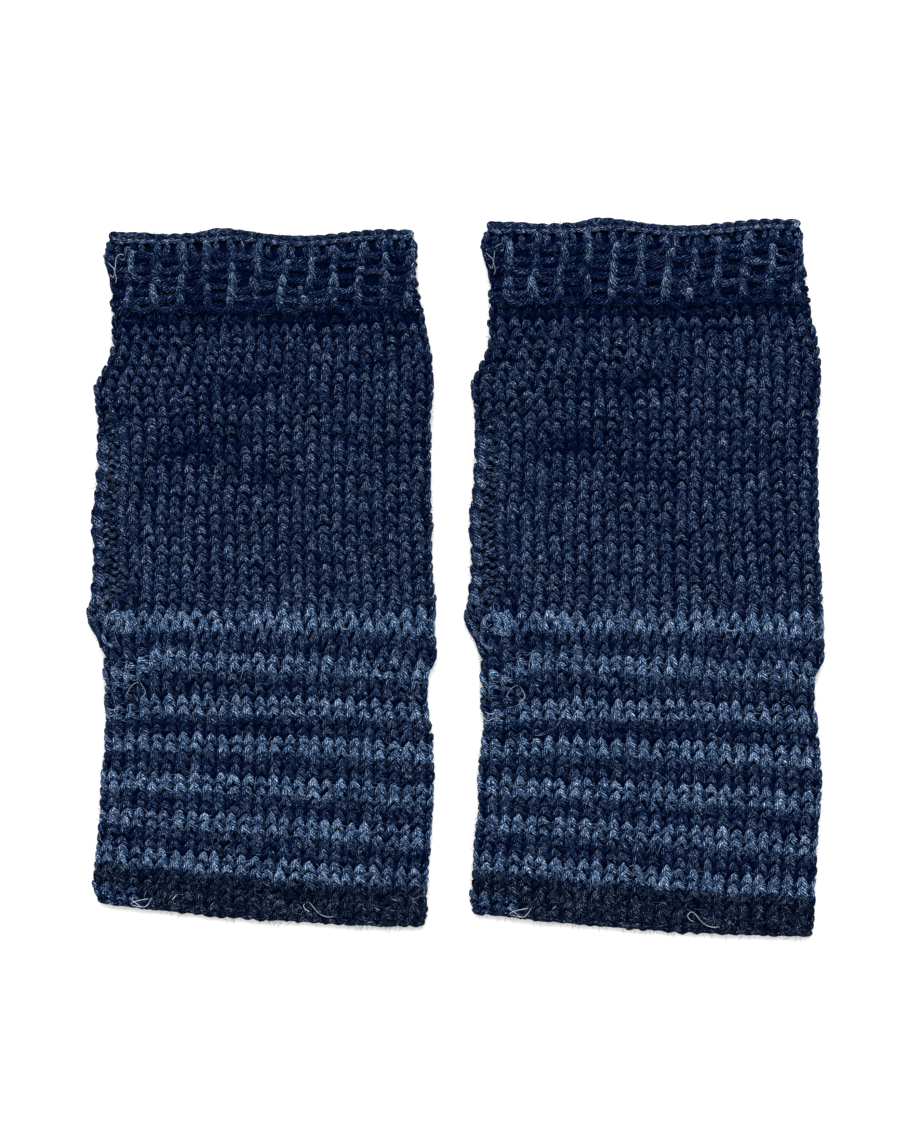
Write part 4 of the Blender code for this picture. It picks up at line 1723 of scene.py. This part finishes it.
@dataclass
class HandWarmer:
    """One hand warmer: its thin cloth, its rows of loops, its chain, its slit's edges and its fuzz."""

    side: str
    tube: FlatTube
    shop: Workshop
    seed: int

    def build(self) -> None:
        shop, tube, side = self.shop, self.tube, self.side
        navy, striped = "navy_wool", "striped_wool"
        cloth = ride(KnittedCloth(tube).build(f"{side}_cloth", shop.ground), navy)
        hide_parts(*(f"{side}_{name}" for name in ("rib_cuff", "hand", "wrist", "hem")))
        dark, light, hem = self.wrist_rows()
        edge, halo = ThumbEdge(tube), WoolHalo(tube, self.seed)
        table = (
            ("rib_loops", navy, shop.knit, shop.navy, self.knit(self.rib_rows(), RIB_LOOPS)),
            ("hand_loops", navy, shop.knit, shop.navy, self.knit(self.hand_rows())),
            ("slit_inside_loops", navy, shop.knit, shop.navy, self.knit(self.slit_rows())),
            ("navy_stripe_loops", striped, shop.knit, shop.navy, self.knit(dark)),
            ("denim_stripe_loops", striped, shop.knit, shop.denim, self.knit(light)),
            ("hem_loops", striped, shop.knit, shop.hem, self.knit(hem)),
            ("bind_off_chain", navy, shop.chain, shop.navy, BindOffChain(tube).shape()),
            ("thumb_edge_stitches", navy, shop.chain, shop.navy, edge.strokes()),
            ("slit_front_edge", navy, shop.chain, shop.navy, edge.front()),
            ("slit_strands", navy, shop.strand, shop.navy, LooseStrands(tube, SLIT_STRANDS).shape()),
            ("denim_knot", striped, shop.strand, shop.denim, LooseStrands(tube, KNOT).shape()),
            ("stray_fibres", striped, shop.strand, shop.stray_fibre, LooseStrands(tube, STRAYS).shape()),
            ("navy_fuzz", navy, shop.halo, shop.navy_fibre, halo.fuzz(False)),
            ("denim_fuzz", striped, shop.halo, shop.denim_fibre, halo.fuzz(True)),
            ("edge_fuzz", navy, shop.halo, shop.navy_fibre, halo.fringe()),
        )
        made = {
            name: ride(shape.grow(f"{side}_{name}", tree, wool), slot)
            for name, slot, tree, wool, shape in table
        }
        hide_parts(f"{side}_bind_off")
        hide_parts(f"{side}_thumb_edge")

    def knit(self, rows: list[Row], form: Loops = PLAIN_LOOPS) -> Shape:
        """Lays a set of rows.

        Args:
            rows: The rows.
            form: The form of their loops.

        Returns:
            The lines, for the knitting tree.
        """
        lines = RowLines(self.tube)
        for row in rows:
            lines.add(row)
        return lines.shape(form, self.seed)

    def rib_rows(self) -> list[Row]:
        """Plans the rib.

        Returns:
            The rows, with a short one under the chain, and sunk ones between that close the gaps. The
            sunk rows are painted dark, as shade.
        """
        rows = [replace(row, lightness=0.03) for row in rows_between(0.02, 6.16, 6, Knit.RIB)]
        sunk = [
            replace(row, course=row.course + row.tall / 2, sunk=0.75, lightness=-1.0) for row in rows[:-1]
        ]
        return [*rows, Row(0.6, 1.15, lightness=-0.15), Row(0.3, 0.8, Knit.RIB, None, 0.6, -1.2), *sunk]

    def hand_rows(self) -> list[Row]:
        """The hand's rows. The first lies sunk, under the rib's end."""
        first, *rows = rows_between(6.03, WRIST_START, 31)
        return [*rows, replace(first, sunk=0.4)]

    def slit_rows(self) -> list[Row]:
        """Plans the purl side of the back layer's edge, which shows inside the slit.

        Returns:
            The rows.
        """
        return [
            replace(row, span=(0.6, self.tube.edge_stitch(row.course) + 0.35), sunk=0.7, lightness=0.12)
            for row in rows_between(SLIT_START + 0.1, SLIT_END - 0.6, 26, Knit.PURL)
        ]

    def wrist_rows(self) -> tuple[list[Row], list[Row], list[Row]]:
        """Plans the wrist.

        Returns:
            The rows of the navy stripes, of the denim ones and of the hem.
        """
        # The first rows below the slit stretch, so those after them lie a little lower.
        rows = [
            replace(
                row,
                course=row.course + 0.4 * bell(row.course, 38.7, 1.9),
                tall=row.tall * (1 + 0.55 * bell(row.course, 37.0, 1.6)),
            )
            for row in rows_between(WRIST_START, HEM_START, 28)
        ]
        stripes = list(enumerate(rows[:-2]))
        light = [replace(row, lightness=0.06) for k, row in stripes if k % 4 < 2]
        light[:2] = [replace(row, span=(1.7, STITCHES - 1.1), lightness=0.12) for row in rows[:2]]
        # Sunk denim rows fill the gap below the slit, painted darker as shade.
        light += [Row(course, 1.2, span=(1.7, 24.5), sunk=0.5, lightness=-0.4) for course in (36.85, 37.7)]
        dark = [replace(row, lightness=-0.14) for k, row in stripes if k % 4 > 1]
        # Where the wrist sags below the slit, a deeper row shows between the stretched ones, painted darker
        # as shade.
        dark += [Row(course, 1.0, span=(-0.5, 11.0), sunk=0.5, lightness=-0.7) for course in (38, 39, 40, 41)]
        # The knot's navy yarn still shows at the thumb side of the first light stripe.
        dark += [replace(row, span=(-1.0, 1.6), lightness=-0.1) for row in rows[:2]]
        # The hem's rows turn under, and show painted darker as shade.
        turned = [Row(64.3, 0.9), Row(65.15, 0.9), Row(65.8, 0.25)]
        light += [replace(row, span=(-3.0, 3.5), lightness=-0.5) for row in turned]
        hem = [replace(row, lightness=-0.12) for row in rows[-2:]]
        hem += [replace(row, span=(3.6, STITCHES - 3.1)) for row in turned]
        return dark, light, hem


def ride(piece: Object, slot: str) -> Object:
    """Puts a finished piece on the one body, and logs it.

    Args:
        piece: The piece.
        slot: Not used.

    Returns:
        The piece.
    """
    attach(piece, "root")
    LOG.info("%s: %d triangles", piece.name, sum(len(p.vertices) - 2 for p in piece.data.polygons))
    return piece


@dataclass
class Studio:
    """A plain pale floor, soft light from the finger end, and a camera that looks straight down."""

    frame_height: float = 0.3522
    distance: float = 1.0
    lift: float = 0.0025
    aim: tuple[float, float] = (-0.0004, 0.0027)
    floor_half: float = 2.0
    sky: tuple[float, float, float, float] = (1.0, 0.97, 0.93, 1)
    sky_strength: float = 0.4

    def build(self) -> None:
        """Builds the floor, the lights and the camera."""
        half = self.floor_half
        corners = np.array([(-half, -half, 0), (half, -half, 0), (half, half, 0), (-half, half, 0)])
        floor = new_object("floor", corners, faces=[(0, 1, 2, 3)])
        floor.data.materials.append(FLOOR.material())
        self.light("window", (-0.2, 1.05, 1.35), 1.6, 48.0)
        self.light("fill", (0.5, -0.9, 1.3), 1.6, 17.0)
        world = bpy.data.worlds.new("studio")
        world.use_nodes = True
        background = world.node_tree.nodes["Background"]
        background.inputs["Color"].default_value = self.sky
        background.inputs["Strength"].default_value = self.sky_strength
        bpy.context.scene.world = world
        bpy.context.scene.view_settings.view_transform = "Standard"
        lens = bpy.data.cameras.new("camera")
        lens.lens = lens.sensor_width * self.distance / self.frame_height
        lens.clip_end = 20.0
        camera = bpy.data.objects.new("camera", lens)
        camera.location = (*self.aim, self.distance + self.lift)
        bpy.context.scene.collection.objects.link(camera)
        bpy.context.scene.camera = camera

    def light(self, name: str, place: tuple[float, float, float], size: float, power: float) -> None:
        """Hangs one soft light, aimed at the pair.

        Args:
            name: Its name.
            place: Where it hangs.
            size: Its width and height.
            power: Its power in watts.
        """
        lamp = bpy.data.lights.new(name, "AREA")
        lamp.shape = "SQUARE"
        lamp.size = size
        lamp.energy = power
        obj = bpy.data.objects.new(name, lamp)
        obj.location = place
        x, y, z = place
        obj.rotation_euler = (math.atan2(math.hypot(x, y), z), 0.0, math.atan2(x, -y))
        bpy.context.scene.collection.objects.link(obj)


def main() -> None:
    """Builds the pair and its studio."""
    logging.basicConfig(level=logging.INFO, format="%(message)s")
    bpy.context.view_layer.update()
    shop = Workshop()
    HandWarmer("left", FlatTube((-60.7, -0.1), 1.0), shop, 11).build()
    HandWarmer("right", FlatTube((57.7, -0.1), 1.03), shop, 23).build()
    Studio().build()


if __name__ == "__main__":
    main()
